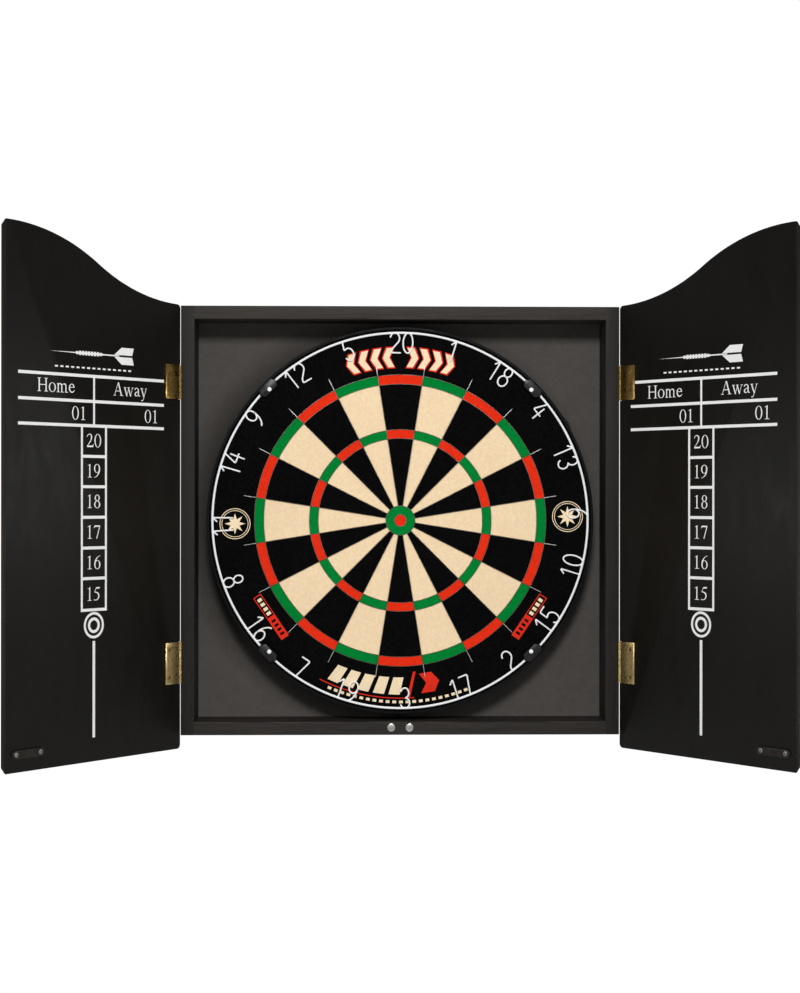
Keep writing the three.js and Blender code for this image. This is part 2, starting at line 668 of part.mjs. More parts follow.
// Numbers above the middle of the board stand with their tops at the ring, and those below it with
// their feet at the ring, so that all of them read upright.
function numberWires(value, position) {
  const centreAngle = 90 - (position * 360) / numbers.length + strays[position];
  const topOutwards = Math.sin(rad(centreAngle)) > -0.05;
  const digits = String(value).split('');
  const wires = [];
  digits.forEach((digit, i) => {
    const along = (i - (digits.length - 1) / 2) * digitPitch;
    const middle = numberRing.radius - numberRing.digitHeight / 2;
    const turn = THREE.MathUtils.radToDeg(along / middle);
    const angle = rad(topOutwards ? centreAngle - turn : centreAngle + turn);
    const outwards = new THREE.Vector2(Math.cos(angle), Math.sin(angle));
    const up = topOutwards ? outwards : outwards.clone().negate();
    const right = new THREE.Vector2(up.y, -up.x);
    const foot = outwards.clone().multiplyScalar(
      numberRing.radius - (topOutwards ? numberRing.digitHeight : 0),
    );
    for (const stroke of digitStrokes(digit)) {
      const points = stroke.points.map((point) => foot.clone()
        .addScaledVector(right, point.x * numberRing.digitWidth)
        .addScaledVector(up, point.y * numberRing.digitHeight));
      wires.push(bentWire(points, ringY, numberRing.digitWire, stroke.closed, facets.digit));
    }
  });
  return wires;
}

function numberRingSolid() {
  const lastAngle = 360 - 360 / facets.board;
  const circle = arc(0, 0, numberRing.radius, numberRing.radius, 0, lastAngle, facets.board - 1);
  const wires = [bentWire(circle, ringY, numberRing.wire, true, facets.wire)];
  numbers.forEach((value, position) => wires.push(...numberWires(value, position)));
  return toGeometry(join(wires));
}

// A clip stands on the rim just outside the ring and reaches in over the wire.
function clipSolid() {
  const footBack = boardFaceY - bandProud - fitGap;
  const half = clip.length / 2;
  const middle = (clip.inner + clip.outer) / 2;
  const plan = new THREE.Shape([
    new THREE.Vector2(clip.inner, -half + clip.corner), new THREE.Vector2(middle, -half),
    new THREE.Vector2(clip.outer, -half + clip.corner), new THREE.Vector2(clip.outer, half - clip.corner),
    new THREE.Vector2(middle, half), new THREE.Vector2(clip.inner, half - clip.corner),
  ]);
  const roof = new THREE.ExtrudeGeometry(plan, { depth: clip.roof, bevelEnabled: false });
  roof.rotateX(Math.PI / 2).translate(0, roofBackY, 0);
  const foot = block([clip.foot, roofBackY - clip.overWire, -half + clip.footInset],
    [clip.outer, footBack, half - clip.footInset]);
  const pinHole = disc(clipPin.shankRadius + fitGap, roofBackY - clip.roof - 1, roofBackY + 1, facets.fine)
    .translate(clip.pinReach, 0, 0);
  return toGeometry(cut(join([roof, foot]), [pinHole]));
}

function clipPinSolid() {
  const seat = roofBackY - clip.roof - fitGap;
  const face = seat - clipPin.headHeight;
  return turned([
    [0, face], [clipPin.headRadius - 0.4, face], [clipPin.headRadius, face + 0.4],
    [clipPin.headRadius, seat], [clipPin.shankRadius, seat],
    [clipPin.shankRadius, seat + fitGap + clipPin.shankLength], [0, seat + fitGap + clipPin.shankLength],
  ], facets.small).translate(clip.pinReach, 0, 0);
}

function buildNumberRing(group) {
  part(group, 'number_ring', numberRingSolid(), 'whiteWire');
  [45, 135, 225, 315].forEach((angle, i) => {
    part(group, `ring_clip_${i + 1}`, clipSolid().rotateY(-rad(angle)), 'blackPlastic');
    part(group, `ring_clip_pin_${i + 1}`, clipPinSolid().rotateY(-rad(angle)), 'whiteWire');
  });
}

// ---------------------------------------------------------------- assembly
const dartBoardCabinet = new THREE.Group();
buildCarcass(dartBoardCabinet);
buildCabinetHinges(dartBoardCabinet);
buildDoor(dartBoardCabinet, 'left', -1);
buildDoor(dartBoardCabinet, 'right', 1);
buildBracket(dartBoardCabinet);
buildBoard(dartBoardCabinet);
buildNumberRing(dartBoardCabinet);

export default dartBoardCabinet;
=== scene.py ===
"""Looks of the dart board cabinet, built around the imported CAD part.

Shapes are written in millimetres in the part's frame (+Z up, the open front faces -Y) and turned
into metres when a piece is made. A door's pieces are written in its closed place with the hinge pin
at the origin, and door_place() swings them to where the part is drawn.
"""

import math

import bmesh
import bpy
from mathutils import Matrix, Vector


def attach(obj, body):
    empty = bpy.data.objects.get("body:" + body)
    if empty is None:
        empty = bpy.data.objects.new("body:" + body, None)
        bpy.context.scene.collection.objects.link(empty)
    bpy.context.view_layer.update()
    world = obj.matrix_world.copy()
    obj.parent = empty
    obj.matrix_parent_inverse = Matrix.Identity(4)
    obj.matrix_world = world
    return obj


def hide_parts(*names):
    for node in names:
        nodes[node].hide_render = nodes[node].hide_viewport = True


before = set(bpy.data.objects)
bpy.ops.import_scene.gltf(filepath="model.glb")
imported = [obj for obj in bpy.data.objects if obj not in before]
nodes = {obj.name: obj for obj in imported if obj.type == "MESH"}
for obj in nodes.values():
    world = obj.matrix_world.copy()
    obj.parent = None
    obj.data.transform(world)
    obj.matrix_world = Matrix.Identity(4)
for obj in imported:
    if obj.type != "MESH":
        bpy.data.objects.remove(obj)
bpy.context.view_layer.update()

# ---- dimensions of the part, in mm
MM = 0.001
GAP = 0.3
HALF_WIDTH, HALF_HEIGHT, DEPTH, BOARD = 254, 249, 60, 15
FRONT_Y = -DEPTH
BACK, EASE = 5, 0.3
VENEER = 0.75  # the sides reach out this far past the CAD's, to close the sliver beside the doors
MAGNET_X, MAGNET_Z, MAGNET_R, MAGNET_LENGTH = 10.6, -240.5, 4.8, 10
PIN_X, PIN_Y = 255.5, -62.1
OPEN_ANGLE = {-1: 130, 1: 128.5}
SIDES = {"left": -1, "right": 1}

# A door's own coordinates: U runs from the pin to its free edge.
DOOR_HINGE_U, DOOR_WIDTH, DOOR_THICKNESS, DOOR_RELIEF_U = -0.7, 255.2, 15, 0.5
DOOR_BOTTOM, DOOR_LOW_TOP, DOOR_HIGH_TOP, OGEE_RUN = -264, 250, 319.5, 251.2
DOOR_FACE = 0.3
# Edge moulding of a door: (depth from the inner face, how far the outline has drawn in).
MOULDING = (
    (0, 0.7), (0.12, 0.32), (0.5, 0.06), (1.2, 0.12), (4.5, 1.35), (4.8, 1.75), (5.2, 1.9),
    (11.0, 3.95), (11.5, 4.1), (11.9, 4.5), (13.0, 4.95), (14.2, 5.7), (14.8, 6.4), (15, 7.2),
)
WORN_STEPS = (1, 2, 6, 10)

KNUCKLE_R, BORE_R, PIN_R, LEAF_T, LEAF_REACH = 2.3, 1.4, 1.1, 1.2, 24
HINGES = {"upper": (160, 40), "lower": (-164.5, 48)}
LEAF_SCREW_U, LEAF_SCREW_SPREAD = 18, 0.33
PLATE_U, PLATE_Z, PLATE_LENGTH, PLATE_WIDTH, PLATE_T = 224, -245, 45, 9, 1.1
PLATE_SCREWS = (-16.5, 16.5)
SUNK = 0.15  # how far a screw head lies below its plate

BOARD_R, BAND, BOARD_BACK_Y, FACE_Y, BACKING = 225.6, 3.3, -14.5, -52.5, 10
BAND_PROUD = 0.4
SISAL_R = BOARD_R - BAND - GAP
DOUBLE, TRIPLE, OUTER_BULL, BULL, BLADE_END = (159, 170), (95.7, 106), 17, 6.9, 185
RING_R, RING_WIRE, DIGIT_WIRE, DIGIT_H, DIGIT_W, DIGIT_PITCH = 218.6, 1.35, 0.95, 23.5, 12.8, 15
RING_Y = FACE_Y - BAND_PROUD - RING_WIRE
ROOF_BACK_Y, ROOF = RING_Y - RING_WIRE - 0.5, 1.5
NUMBERS = (20, 1, 18, 4, 13, 6, 10, 15, 2, 17, 3, 19, 7, 16, 8, 11, 14, 9, 12, 5)
# The numbers are welded on by hand, so each sits a little to one side, in degrees anticlockwise.
STRAY = (
    -0.3, 0.9, 1.9, 2.5, 3.2, 2.3, 3.0, 1.6, 2.0, 1.8,
    1.5, 0.3, 2.0, 1.2, 1.9, 1.6, -0.6, 1.0, -0.1, -0.8,
)
CLIP_ANGLES = (45, 135, 225, 315)
ARMS, WHEEL_REACH, WHEEL_R, WHEEL_T, WHEEL_BACK_Y = (30, 150, 270), 215, 17.5, 5.1, -9.1
GRIPS, GRIP_DEPTH, STUD_R, STUD_END_Y = 12, 0.9, 3, -5.4


# ---- materials
def linear(rgb):
    """An everyday 0 to 255 colour as the linear colour that a shader takes."""
    return tuple(
        (v / 255 / 12.92) if v / 255 <= 0.04045 else ((v / 255 + 0.055) / 1.055) ** 2.4
        for v in rgb
    )


def shade(colour, factor):
    return tuple(min(1, channel * factor) for channel in colour)


class Surface:
    """A procedural material on one Principled shader."""

    def __init__(self, name, **sockets):
        self.material = bpy.data.materials.new(name)
        self.material.use_nodes = True
        self.tree = self.material.node_tree
        self.tree.nodes.clear()
        self.shader = self.node("BsdfPrincipled")
        self.node("OutputMaterial", {0: self.shader.outputs[0]})
        for socket, value in sockets.items():
            self.shader.inputs[socket.replace("_", " ")].default_value = value
        self.coords = self.node("TexCoord").outputs["Object"]

    def feed(self, socket, value):
        if isinstance(value, bpy.types.NodeSocket):
            self.tree.links.new(value, socket)
        else:
            socket.default_value = value

    def node(self, kind, inputs=(), **settings):
        """A new node, with a value or a link on each input named or numbered."""
        made = self.tree.nodes.new("ShaderNode" + kind)
        for setting, value in settings.items():
            setattr(made, setting, value)
        for socket, value in dict(inputs).items():
            self.feed(made.inputs[socket], value)
        return made

    def mapped(self, stretch, location=(0, 0, 0)):
        inputs = {"Vector": self.coords, "Scale": stretch, "Location": location}
        return self.node("Mapping", inputs).outputs[0]

    def noise(self, stretch, detail=5, roughness=0.55, distortion=0, offset=0):
        """Noise from 0 to 1. stretch is how many features there are in a metre along each axis."""
        return self.node("TexNoise", {
            "Vector": self.mapped(stretch, (offset, offset * 0.7, -offset)), "Scale": 1,
            "Detail": detail, "Roughness": roughness, "Distortion": distortion,
        }).outputs[0]

    def cells(self, stretch):
        """Distance from the middle of scattered cells: small round pits or fibre ends."""
        return self.node("TexVoronoi", {"Vector": self.mapped(stretch), "Scale": 1}).outputs["Distance"]

    def ranged(self, value, low, high, to_low=0, to_high=1):
        return self.node("MapRange", enumerate((value, low, high, to_low, to_high))).outputs[0]

    def sums(self, first, second, operation="ADD"):
        return self.node("Math", {0: first, 1: second}, operation=operation).outputs[0]

    def mixed(self, factor, first, second):
        first, second = ((*c, 1) if isinstance(c, tuple) else c for c in (first, second))
        return self.node("Mix", {0: factor, 6: first, 7: second}, data_type="RGBA").outputs[2]

    def tinted(self, tone, base, spread):
        """An everyday colour that goes from darker to lighter by spread, as tone goes from 0 to 1."""
        return self.mixed(tone, shade(linear(base), 1 - spread), shade(linear(base), 1 + spread))

    def finished(self, colour, rough, height, strength, distance):
        bump = self.node("Bump", {"Strength": strength, "Distance": distance, "Height": height})
        ends = {"Base Color": colour, "Roughness": rough, "Normal": bump.outputs[0]}
        for socket, value in ends.items():
            self.feed(self.shader.inputs[socket], value)
        return self.material


def wood(name, base, grain, spread, worn, rough=(0.5, 0.7), gloss=0.2, ring=None):
    """Stained or painted timber. grain is the stretch of its figure and spread its contrast. ring
    darkens a disc, for the soft shade behind the board: two radii it fades between, depth, centre."""
    made = Surface(name, Specular_IOR_Level=gloss)
    figure = made.noise(grain, 7, 0.62, 0.6)
    pores = made.noise(tuple(g * 5.5 for g in grain), 3, 0.5, 0, 3)
    cloud = made.noise((7, 7, 7), 2, 0.5, 0, 9)
    tone = made.sums(made.ranged(figure, 0.3, 0.7), made.ranged(pores, 0.25, 0.75, -0.3, 0.3))
    tone = made.sums(tone, made.ranged(cloud, 0.3, 0.7, -0.18, 0.18))
    timber_colour = made.tinted(tone, base, spread)
    if ring:
        # painted shadow: the colour goes dark in a disc round the board, standing in for the board's soft
        # shadow on the panel
        inner, outer, depth, centre = ring
        away = made.node("VectorMath", {0: made.mapped((1, 0, 1), centre)}, operation="LENGTH")
        outside_painted_shadow = made.ranged(away.outputs["Value"], inner, outer, depth, 1)
        timber_colour = made.mixed(outside_painted_shadow, (0, 0, 0), timber_colour)
    wear = made.node("Attribute", attribute_name="wear").outputs["Fac"]
    rubbed = made.sums(wear, made.ranged(figure, 0.35, 0.6), "MULTIPLY")
    return made.finished(
        made.mixed(rubbed, timber_colour, linear(worn)), made.ranged(figure, 0.3, 0.7, *rough),
        made.sums(figure, pores), 0.35, 0.00025,
    )


def metal(name, base, tarnish, rough, brush):
    """Metal with tarnished clouds and fine brushed scratches. brush is the stretch of the scratches."""
    made = Surface(name, Metallic=1)
    cloud = made.ranged(made.noise((160, 160, 160), 5, 0.6), 0.38, 0.68)
    scratches = made.noise(brush, 2, 0.5, 0, 5)
    specks = made.ranged(made.noise((1900, 1900, 1900), 2, 0.5), 0.6, 0.75)
    tone = made.sums(cloud, made.ranged(scratches, 0.3, 0.7, -0.25, 0.25))
    return made.finished(
        made.mixed(made.sums(tone, specks), linear(base), linear(tarnish)),
        made.ranged(made.sums(cloud, scratches), 0.4, 1.5, *rough),
        made.sums(scratches, cloud), 0.1, 0.0001,
    )


def bristle(name, base, spread, gloss=0.03):
    """The ends of packed sisal fibres, pressed flat: fine pits, and fibres lighter and darker."""
    made = Surface(name, Roughness=0.95, Specular_IOR_Level=gloss)
    ends = made.cells((1300, 500, 1300))
    tufts = made.noise((260, 120, 260), 4, 0.6)
    cloud = made.noise((16, 16, 16), 3, 0.5, 0, 4)
    tone = made.sums(made.ranged(ends, 0.1, 0.75, 0.25, -0.35), made.ranged(tufts, 0.3, 0.7, 0.1, 0.9))
    tone = made.sums(tone, made.ranged(cloud, 0.3, 0.7, -0.12, 0.12))
    return made.finished(
        made.tinted(tone, base, spread), made.ranged(tufts, 0.3, 0.7, 0.85, 1),
        made.sums(made.ranged(ends, 0, 0.8, 1, 0), tufts), 0.35, 0.0003,
    )


def plastic(name, base, spread, rough, gloss=0.3, grain=900):
    """Moulded plastic or thick paint with a fine stipple."""
    made = Surface(name, Specular_IOR_Level=gloss)
    stipple = made.noise((grain, grain, grain), 3, 0.5)
    cloud = made.noise((60, 60, 60), 3, 0.55, 0, 2)
    tone = made.sums(made.ranged(cloud, 0.3, 0.7), made.ranged(stipple, 0.3, 0.7, -0.2, 0.2))
    return made.finished(
        made.tinted(tone, base, spread), made.ranged(cloud, 0.3, 0.7, *rough), stipple, 0.15, 0.00012,
    )


WORN = (84, 80, 75)
ALONG_X, ALONG_Z = (16, 420, 420), (420, 420, 16)
looks = {
    "rail": wood("rail_wood", (52, 47, 43), ALONG_X, 0.42, WORN),
    # painted shade: a darker copy of the top rail's wood, for the bottom rail
    "rail_painted_darker": wood("rail_wood_painted_darker", (43, 39, 36), ALONG_X, 0.42, WORN),
    "side": wood("side_wood", (31, 28, 25), ALONG_Z, 0.45, (58, 54, 50)),
    # the panel's colour carries a painted shadow round the board, its centre set a little to the left
    "panel": wood("panel_board", (84, 80, 76), (90, 90, 90), 0.1, WORN, (0.7, 0.85), 0.1,
                  (0.218, 0.254, 0.4, (0.014, 0, 0.002))),
    "door": wood("door_satin_black", (11, 9, 5), (60, 60, 18), 0.2, (50, 46, 42), (0.4, 0.5), 0.2),
    "door_edge": wood("door_edge_black", (26, 24, 22), ALONG_Z, 0.2, (40, 37, 34), (0.7, 0.85), 0.04),
    "brass": metal("aged_brass", (196, 163, 98), (116, 92, 49), (0.2, 0.42), (90, 900, 90)),
    # painted highlight: a lighter copy of the same brass, for the lower hinges
    "brass_painted_lighter": metal("brass_copy_painted_lighter", (250, 224, 160), (176, 147, 94), (0.24, 0.44), (90, 900, 90)),
    "brass_bright": metal("brass_bright", (212, 186, 128), (130, 100, 50), (0.2, 0.4), (300, 300, 300)),
    "steel": metal("wire_steel", (190, 190, 188), (128, 128, 126), (0.25, 0.42), (700, 700, 90)),
    "blade": metal("blade_steel", (150, 144, 132), (92, 88, 80), (0.35, 0.5), (500, 500, 500)),
    "blade_end": metal("blade_end_steel", (215, 213, 210), (150, 149, 147), (0.4, 0.6), (500, 500, 500)),
    "magnet": metal("magnet_steel", (232, 230, 226), (186, 184, 180), (0.25, 0.4), (1500, 60, 1500)),
    "dark_steel": metal("strike_steel", (65, 60, 56), (48, 44, 41), (0.4, 0.55), (60, 60, 1200)),
    "cream": bristle("sisal_cream", (252, 222, 182), 0.09),
    "black": bristle("sisal_black", (11, 11, 11), 0.5, 0.02),
    "red": bristle("sisal_red", (236, 50, 24), 0.12),
    "green": bristle("sisal_green", (2, 130, 52), 0.14),
    "ink_cream": plastic("board_ink_cream", (248, 226, 188), 0.06, (0.7, 0.9), 0.05),
    "ink_red": plastic("board_ink_red", (224, 48, 30), 0.1, (0.7, 0.9), 0.05),
    "print": plastic("door_print_white", (250, 250, 248), 0.04, (0.5, 0.7), 0.2),
    "wire": plastic("painted_wire", (250, 250, 250), 0.03, (0.35, 0.5), 0.3),
    "clip": plastic("clip_plastic", (27, 24, 27), 0.3, (0.3, 0.5), 0.3),
    "rim": plastic("rim_band_black", (7, 7, 8), 0.3, (0.5, 0.7), 0.12),
    "bracket": plastic("bracket_plastic", (20, 20, 21), 0.25, (0.4, 0.6), 0.25),
    "backing": wood("backing_board", (150, 122, 86), (220, 60, 220), 0.2, WORN, (0.8, 0.95), 0.1),
    "floor": plastic("floor_paint", (248, 248, 247), 0.01, (0.7, 0.8), 0.1, 60),
}


# ---- mesh helpers, in millimetres
def turn(degrees, axis):
    return Matrix.Rotation(math.radians(degrees), 4, axis)


def shift(x, y, z):
    return Matrix.Translation((x, y, z))


def flipped(flip):
    """Left for right, or nothing."""
    return Matrix.Scale(-1, 4, (1, 0, 0)) if flip else Matrix.Identity(4)


def door_place(side, mirror=True):
    """From a door's closed place, pin at the origin, to where it is drawn."""
    swing = turn(side * OPEN_ANGLE[side], "Z")
    return shift(side * PIN_X, PIN_Y, 0) @ swing @ flipped(side > 0 and mirror)


def round_board(angle):
    """Turns a piece drawn on the +X side of the board to an angle, anticlockwise from the front."""
    return turn(-angle, "Y")


def polar(radius, angle):
    return (radius * math.cos(math.radians(angle)), radius * math.sin(math.radians(angle)))


def arc(cx, cz, rx, rz, start, end, steps):
    """Points of an elliptical arc in a plane, both ends included."""
    angles = [math.radians(start + (end - start) * i / steps) for i in range(steps + 1)]
    return [(cx + rx * math.cos(a), cz + rz * math.sin(a)) for a in angles]


def round_turn(steps):
    return [2 * math.pi * i / steps for i in range(steps)]


def circle(x, z, radius):
    return arc(x, z, radius, radius, 0, 352.5, 47)


def linked(name, data):
    made = bpy.data.objects.new(name, data)
    bpy.context.scene.collection.objects.link(made)
    return made


def moved(bm, matrix):
    """Moves a mesh, its faces still looking outwards if the move is a reflection."""
    bm.transform(matrix)
    if matrix.determinant() < 0:
        bmesh.ops.reverse_faces(bm, faces=bm.faces)
    return bm


def outward(bm):
    bmesh.ops.recalc_face_normals(bm, faces=bm.faces)
    return bm


def band(bm, here, there):
    """Joins two equal loops of vertices with a closed band of faces."""
    count = len(here)
    return [
        bm.faces.new((here[i], here[(i + 1) % count], there[(i + 1) % count], there[i]))
        for i in range(count)
    ]


def put(bm, other, matrix=None):
    """Adds one mesh to another and frees it."""
    if matrix is not None:
        moved(other, matrix)
    spare = bpy.data.meshes.new("spare")
    other.to_mesh(spare)
    other.free()
    bm.from_mesh(spare)
    bpy.data.meshes.remove(spare)
    return bm


def prism(outline, near, far, index=0):
    """A flat closed slab: an outline in XZ, between two levels of Y (near is the lower Y)."""
    bm = bmesh.new()
    front = [bm.verts.new((x, near, z)) for x, z in outline]
    back = [bm.verts.new((x, far, z)) for x, z in outline]
    count = len(outline)
    bm.faces.new(front)
    bm.faces.new(back[::-1])
    for i in range(count):
        j = (i + 1) % count
        bm.faces.new((front[i], back[i], back[j], front[j]))
    for face in bm.faces:
        face.material_index = index
    return outward(bm)


def bar(low, high):
    """A plain bar between two corners, every edge sharp, for cutting or bevelling."""
    (x0, y0, z0), (x1, y1, z1) = low, high
    return prism([(x0, z0), (x1, z0), (x1, z1), (x0, z1)], y0, y1)


def eased(bm, radius, segments=3, angle=40):
    """Rounds the sharp edges and marks the rounding as the place where wear shows."""
    wear = bm.loops.layers.float.get("wear") or bm.loops.layers.float.new("wear")
    bm.normal_update()
    sharp = [
        e for e in bm.edges
        if len(e.link_faces) == 2 and e.calc_face_angle(0) > math.radians(angle)
    ]
    made = bmesh.ops.bevel(
        bm, geom=sharp, offset=radius, segments=segments, profile=0.5, affect="EDGES",
        clamp_overlap=True,
    )
    for face in made["faces"]:
        for loop in face.loops:
            loop[wear] = 1
    return bm


def lathe(profile, steps=96):
    """A closed body of revolution about Y from (radius, y) points, first and last on the axis."""
    bm = bmesh.new()
    rings = []
    for radius, y in profile:
        if radius == 0:
            rings.append([bm.verts.new((0, y, 0))] * steps)
            continue
        rings.append([
            bm.verts.new((radius * math.cos(a), y, radius * math.sin(a))) for a in round_turn(steps)
        ])
    for lower, upper in zip(rings, rings[1:]):
        for i in range(steps):
            j = (i + 1) % steps
            corners = []
            for vert in (lower[i], lower[j], upper[j], upper[i]):
                if vert not in corners:
                    corners.append(vert)
            if len(corners) > 2:
                bm.faces.new(corners)
    return outward(bm)


def hoop(profile, steps=180):
    """A closed ring about Y from a closed loop of (radius, y) points."""
    bm = bmesh.new()
    rings = [
        [bm.verts.new((r * math.cos(a), y, r * math.sin(a))) for r, y in profile]
        for a in round_turn(steps)
    ]
    for here, there in zip(rings, rings[1:] + rings[:1]):
        band(bm, here, there)
    return outward(bm)


def ribbon(outer, inner, near, far):
    """A closed slab between two outlines with the same number of points, joined end to end."""
    bm = bmesh.new()
    loops = [
        [bm.verts.new((x, y, z)) for x, z in loop] for loop, y in
        ((outer, near), (outer, far), (inner, far), (inner, near))
    ]
    for here, there in zip(loops, loops[1:] + loops[:1]):
        band(bm, here, there)
    return outward(bm)


def roundel(x, z, outer, inner, near, far):
    return ribbon(circle(x, z, outer), circle(x, z, inner), near, far)


def softened(points, radius, closed=False):
    """The same path with each corner turned into a short bend, as in bent wire."""
    points = [Vector(p) for p in points]
    count = len(points)
    made = []
    for i, point in enumerate(points):
        if not closed and i in (0, count - 1):
            made.append(point)
            continue
        back = points[(i - 1) % count] - point
        ahead = points[(i + 1) % count] - point
        reach = min(radius, back.length * 0.45, ahead.length * 0.45)
        start, end = point + back.normalized() * reach, point + ahead.normalized() * reach
        for step in range(4):
            t = step / 3
            made.append(start * (1 - t) ** 2 + point * 2 * t * (1 - t) + end * t * t)
    return made


def wire(points, y, radius, closed=False, sides=10):
    """Round wire along points in the XZ plane at one level of Y, its ends rounded over."""
    bm = bmesh.new()
    path = [Vector((p[0], y, p[1])) for p in points]
    count = len(path)
    rings = []

    def ring(centre, across, size):
        return [
            bm.verts.new(centre + across * size * math.cos(a) + Vector((0, 1, 0)) * size * math.sin(a))
            for a in round_turn(sides)
        ]

    for i, point in enumerate(path):
        before = path[(i - 1) % count] if closed or i else point
        after = path[(i + 1) % count] if closed or i < count - 1 else point
        along = (after - before).normalized()
        across = Vector((-along.z, 0, along.x))
        if not closed and i == 0:
            rings.append(ring(point - along * radius * 0.7, across, radius * 0.55))
        rings.append(ring(point, across, radius))
        if not closed and i == count - 1:
            rings.append(ring(point + along * radius * 0.7, across, radius * 0.55))
    for here, there in zip(rings, rings[1:] + rings[:1] if closed else rings[1:]):
        band(bm, here, there)
    if not closed:
        bm.faces.new(rings[0][::-1])
        bm.faces.new(rings[-1])
    return outward(bm)


def carved(bm, cutters):
    """What is left of a mesh once each cutter is taken out of it."""
    pair = []
    tool = bmesh.new()
    for cutter in cutters:
        put(tool, cutter)
    for mesh_in in (bm, tool):
        data = bpy.data.meshes.new("spare")
        mesh_in.to_mesh(data)
        mesh_in.free()
        pair.append(linked("spare", data))
    cut = pair[0].modifiers.new("cut", "BOOLEAN")
    cut.operation, cut.solver, cut.object = "DIFFERENCE", "EXACT", pair[1]
    result = bmesh.new()
    result.from_object(pair[0], bpy.context.evaluated_depsgraph_get())
    for spare in pair:
        data = spare.data
        bpy.data.objects.remove(spare)
        bpy.data.meshes.remove(data)
    return result


def piece(name, bm, body, materials, stands_for=(), place=None, smooth=30):
    """Makes an object from a mesh in millimetres, and lets it ride on a body of the part."""
    if place is not None:
        moved(bm, place)
    mesh = bpy.data.meshes.new(name)
    bm.to_mesh(mesh)
    bm.free()
    mesh.transform(Matrix.Scale(MM, 4))
    for look in materials:
        mesh.materials.append(looks[look])
    mesh.shade_smooth()
    mesh.set_sharp_from_angle(angle=math.radians(smooth))
    made = linked(name, mesh)
    if stands_for:
        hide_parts(*stands_for)
    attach(made, body)


def keep(node, look):
    """A CAD node whose shape is right as it is, with a better material."""
    materials = nodes[node].data.materials
    materials.clear()
    materials.append(looks[look])


# ---- screws and pins
def cross_screw(head, shank, head_depth, length, crown=0.05):
    """A countersunk cross-recess screw along Y, its head at y = 0 facing +Y."""
    body = lathe([
        (0, crown), (head * 0.45, crown * 0.85), (head * 0.8, crown * 0.35), (head, -0.05),
        (head, -0.25), (shank, -head_depth), (shank, -length + 1.8), (shank * 0.4, -length),
        (0, -length),
    ], 24)
    for angle in (20, 110):
        half, width, depth = head * 0.6, head * 0.12, head * 0.34
        slot = prism([(-half, -width), (half, -width), (half, width), (-half, width)], -depth, crown + 1)
        body = carved(body, [moved(slot, turn(angle, "Y"))])
    return body


def screw_hole(head, place):
    """What a countersunk screw hole takes away, its mouth at y = 0 facing +Y."""
    hole = lathe([(0, -3), (1.3, -3), (1.3, -1.15), (head, -0.2), (head, 0.6), (0, 0.6)], 24)
    return moved(hole, place)


def leaf_screw():
    return cross_screw(2.5, 1.15, 1.0, 10)


def screw_heights(place):
    centre, height = HINGES[place]
    return [centre - LEAF_SCREW_SPREAD * height, centre + LEAF_SCREW_SPREAD * height]


# ---- carcass
def build_carcass():
    inner, inner_z = HALF_WIDTH - BOARD, HALF_HEIGHT - BOARD
    for name, side in SIDES.items():
        edges = sorted((side * inner, side * (HALF_WIDTH + VENEER)))
        plank = eased(bar((edges[0], FRONT_Y, -HALF_HEIGHT), (edges[1], 0, HALF_HEIGHT)), EASE)
        piece(f"side_board_{name}", plank, "cabinet", ["side"], [f"cabinet_side_{name}"])
    rail = eased(bar((-inner, FRONT_Y, inner_z), (inner, 0, HALF_HEIGHT)), EASE)
    piece("top_board", rail, "cabinet", ["rail"], ["cabinet_top"])
    rail = eased(bar((-inner, FRONT_Y, -HALF_HEIGHT), (inner, 0, -inner_z)), EASE)
    sockets = []
    mouth, floor, radius = FRONT_Y - 1, FRONT_Y + MAGNET_LENGTH + GAP, MAGNET_R + GAP
    for x in (-MAGNET_X, MAGNET_X):
        socket = lathe([(0, mouth), (radius, mouth), (radius, floor), (0, floor)], 40)
        sockets.append(moved(socket, shift(x, 0, MAGNET_Z)))
    # the bottom board takes the darker copy of the rail wood: painted shade
    piece("bottom_board", carved(rail, sockets), "cabinet", ["rail_painted_darker"], ["cabinet_bottom"])
    for name, side in SIDES.items():
        disc = lathe([
            (0, FRONT_Y - 0.2), (4.1, FRONT_Y - 0.2), (4.55, FRONT_Y - 0.05), (MAGNET_R, FRONT_Y + 0.35),
            (MAGNET_R, FRONT_Y + MAGNET_LENGTH), (0, FRONT_Y + MAGNET_LENGTH),
        ], 40)
        piece(f"magnet_disc_{name}", disc, "cabinet", ["magnet"], [f"magnet_{name}"],
              shift(side * MAGNET_X, 0, MAGNET_Z))
    panel = eased(bar((-inner, -BACK, -inner_z), (inner, 0, inner_z)), 0.1, 1)
    piece("rear_board", panel, "cabinet", ["panel"], ["back_panel"])


# ---- hinges
def knuckle(low, high, near, far):
    """One tube of a hinge with the tongue that joins it to its leaf, bored for the pin."""
    sides = 40
    start, end = (math.degrees(math.asin(y / KNUCKLE_R)) for y in (near, far))
    outer, inner = [], []
    tongue = [k for k in range(sides) if start <= 360 * k / sides - 180 <= end]
    for k in range(sides):
        angle = math.radians(360 * k / sides - 180)
        if k in tongue:
            share = (k - tongue[0]) / max(1, len(tongue) - 1)
            outer.append((KNUCKLE_R + 0.6, near + (far - near) * share))
        else:
            outer.append((KNUCKLE_R * math.cos(angle), KNUCKLE_R * math.sin(angle)))
        inner.append((BORE_R * math.cos(angle), BORE_R * math.sin(angle)))
    upright = Matrix(((1, 0, 0, 0), (0, 0, 1, 0), (0, 1, 0, 0), (0, 0, 0, 1)))
    return moved(ribbon(outer, inner, low, high), upright)


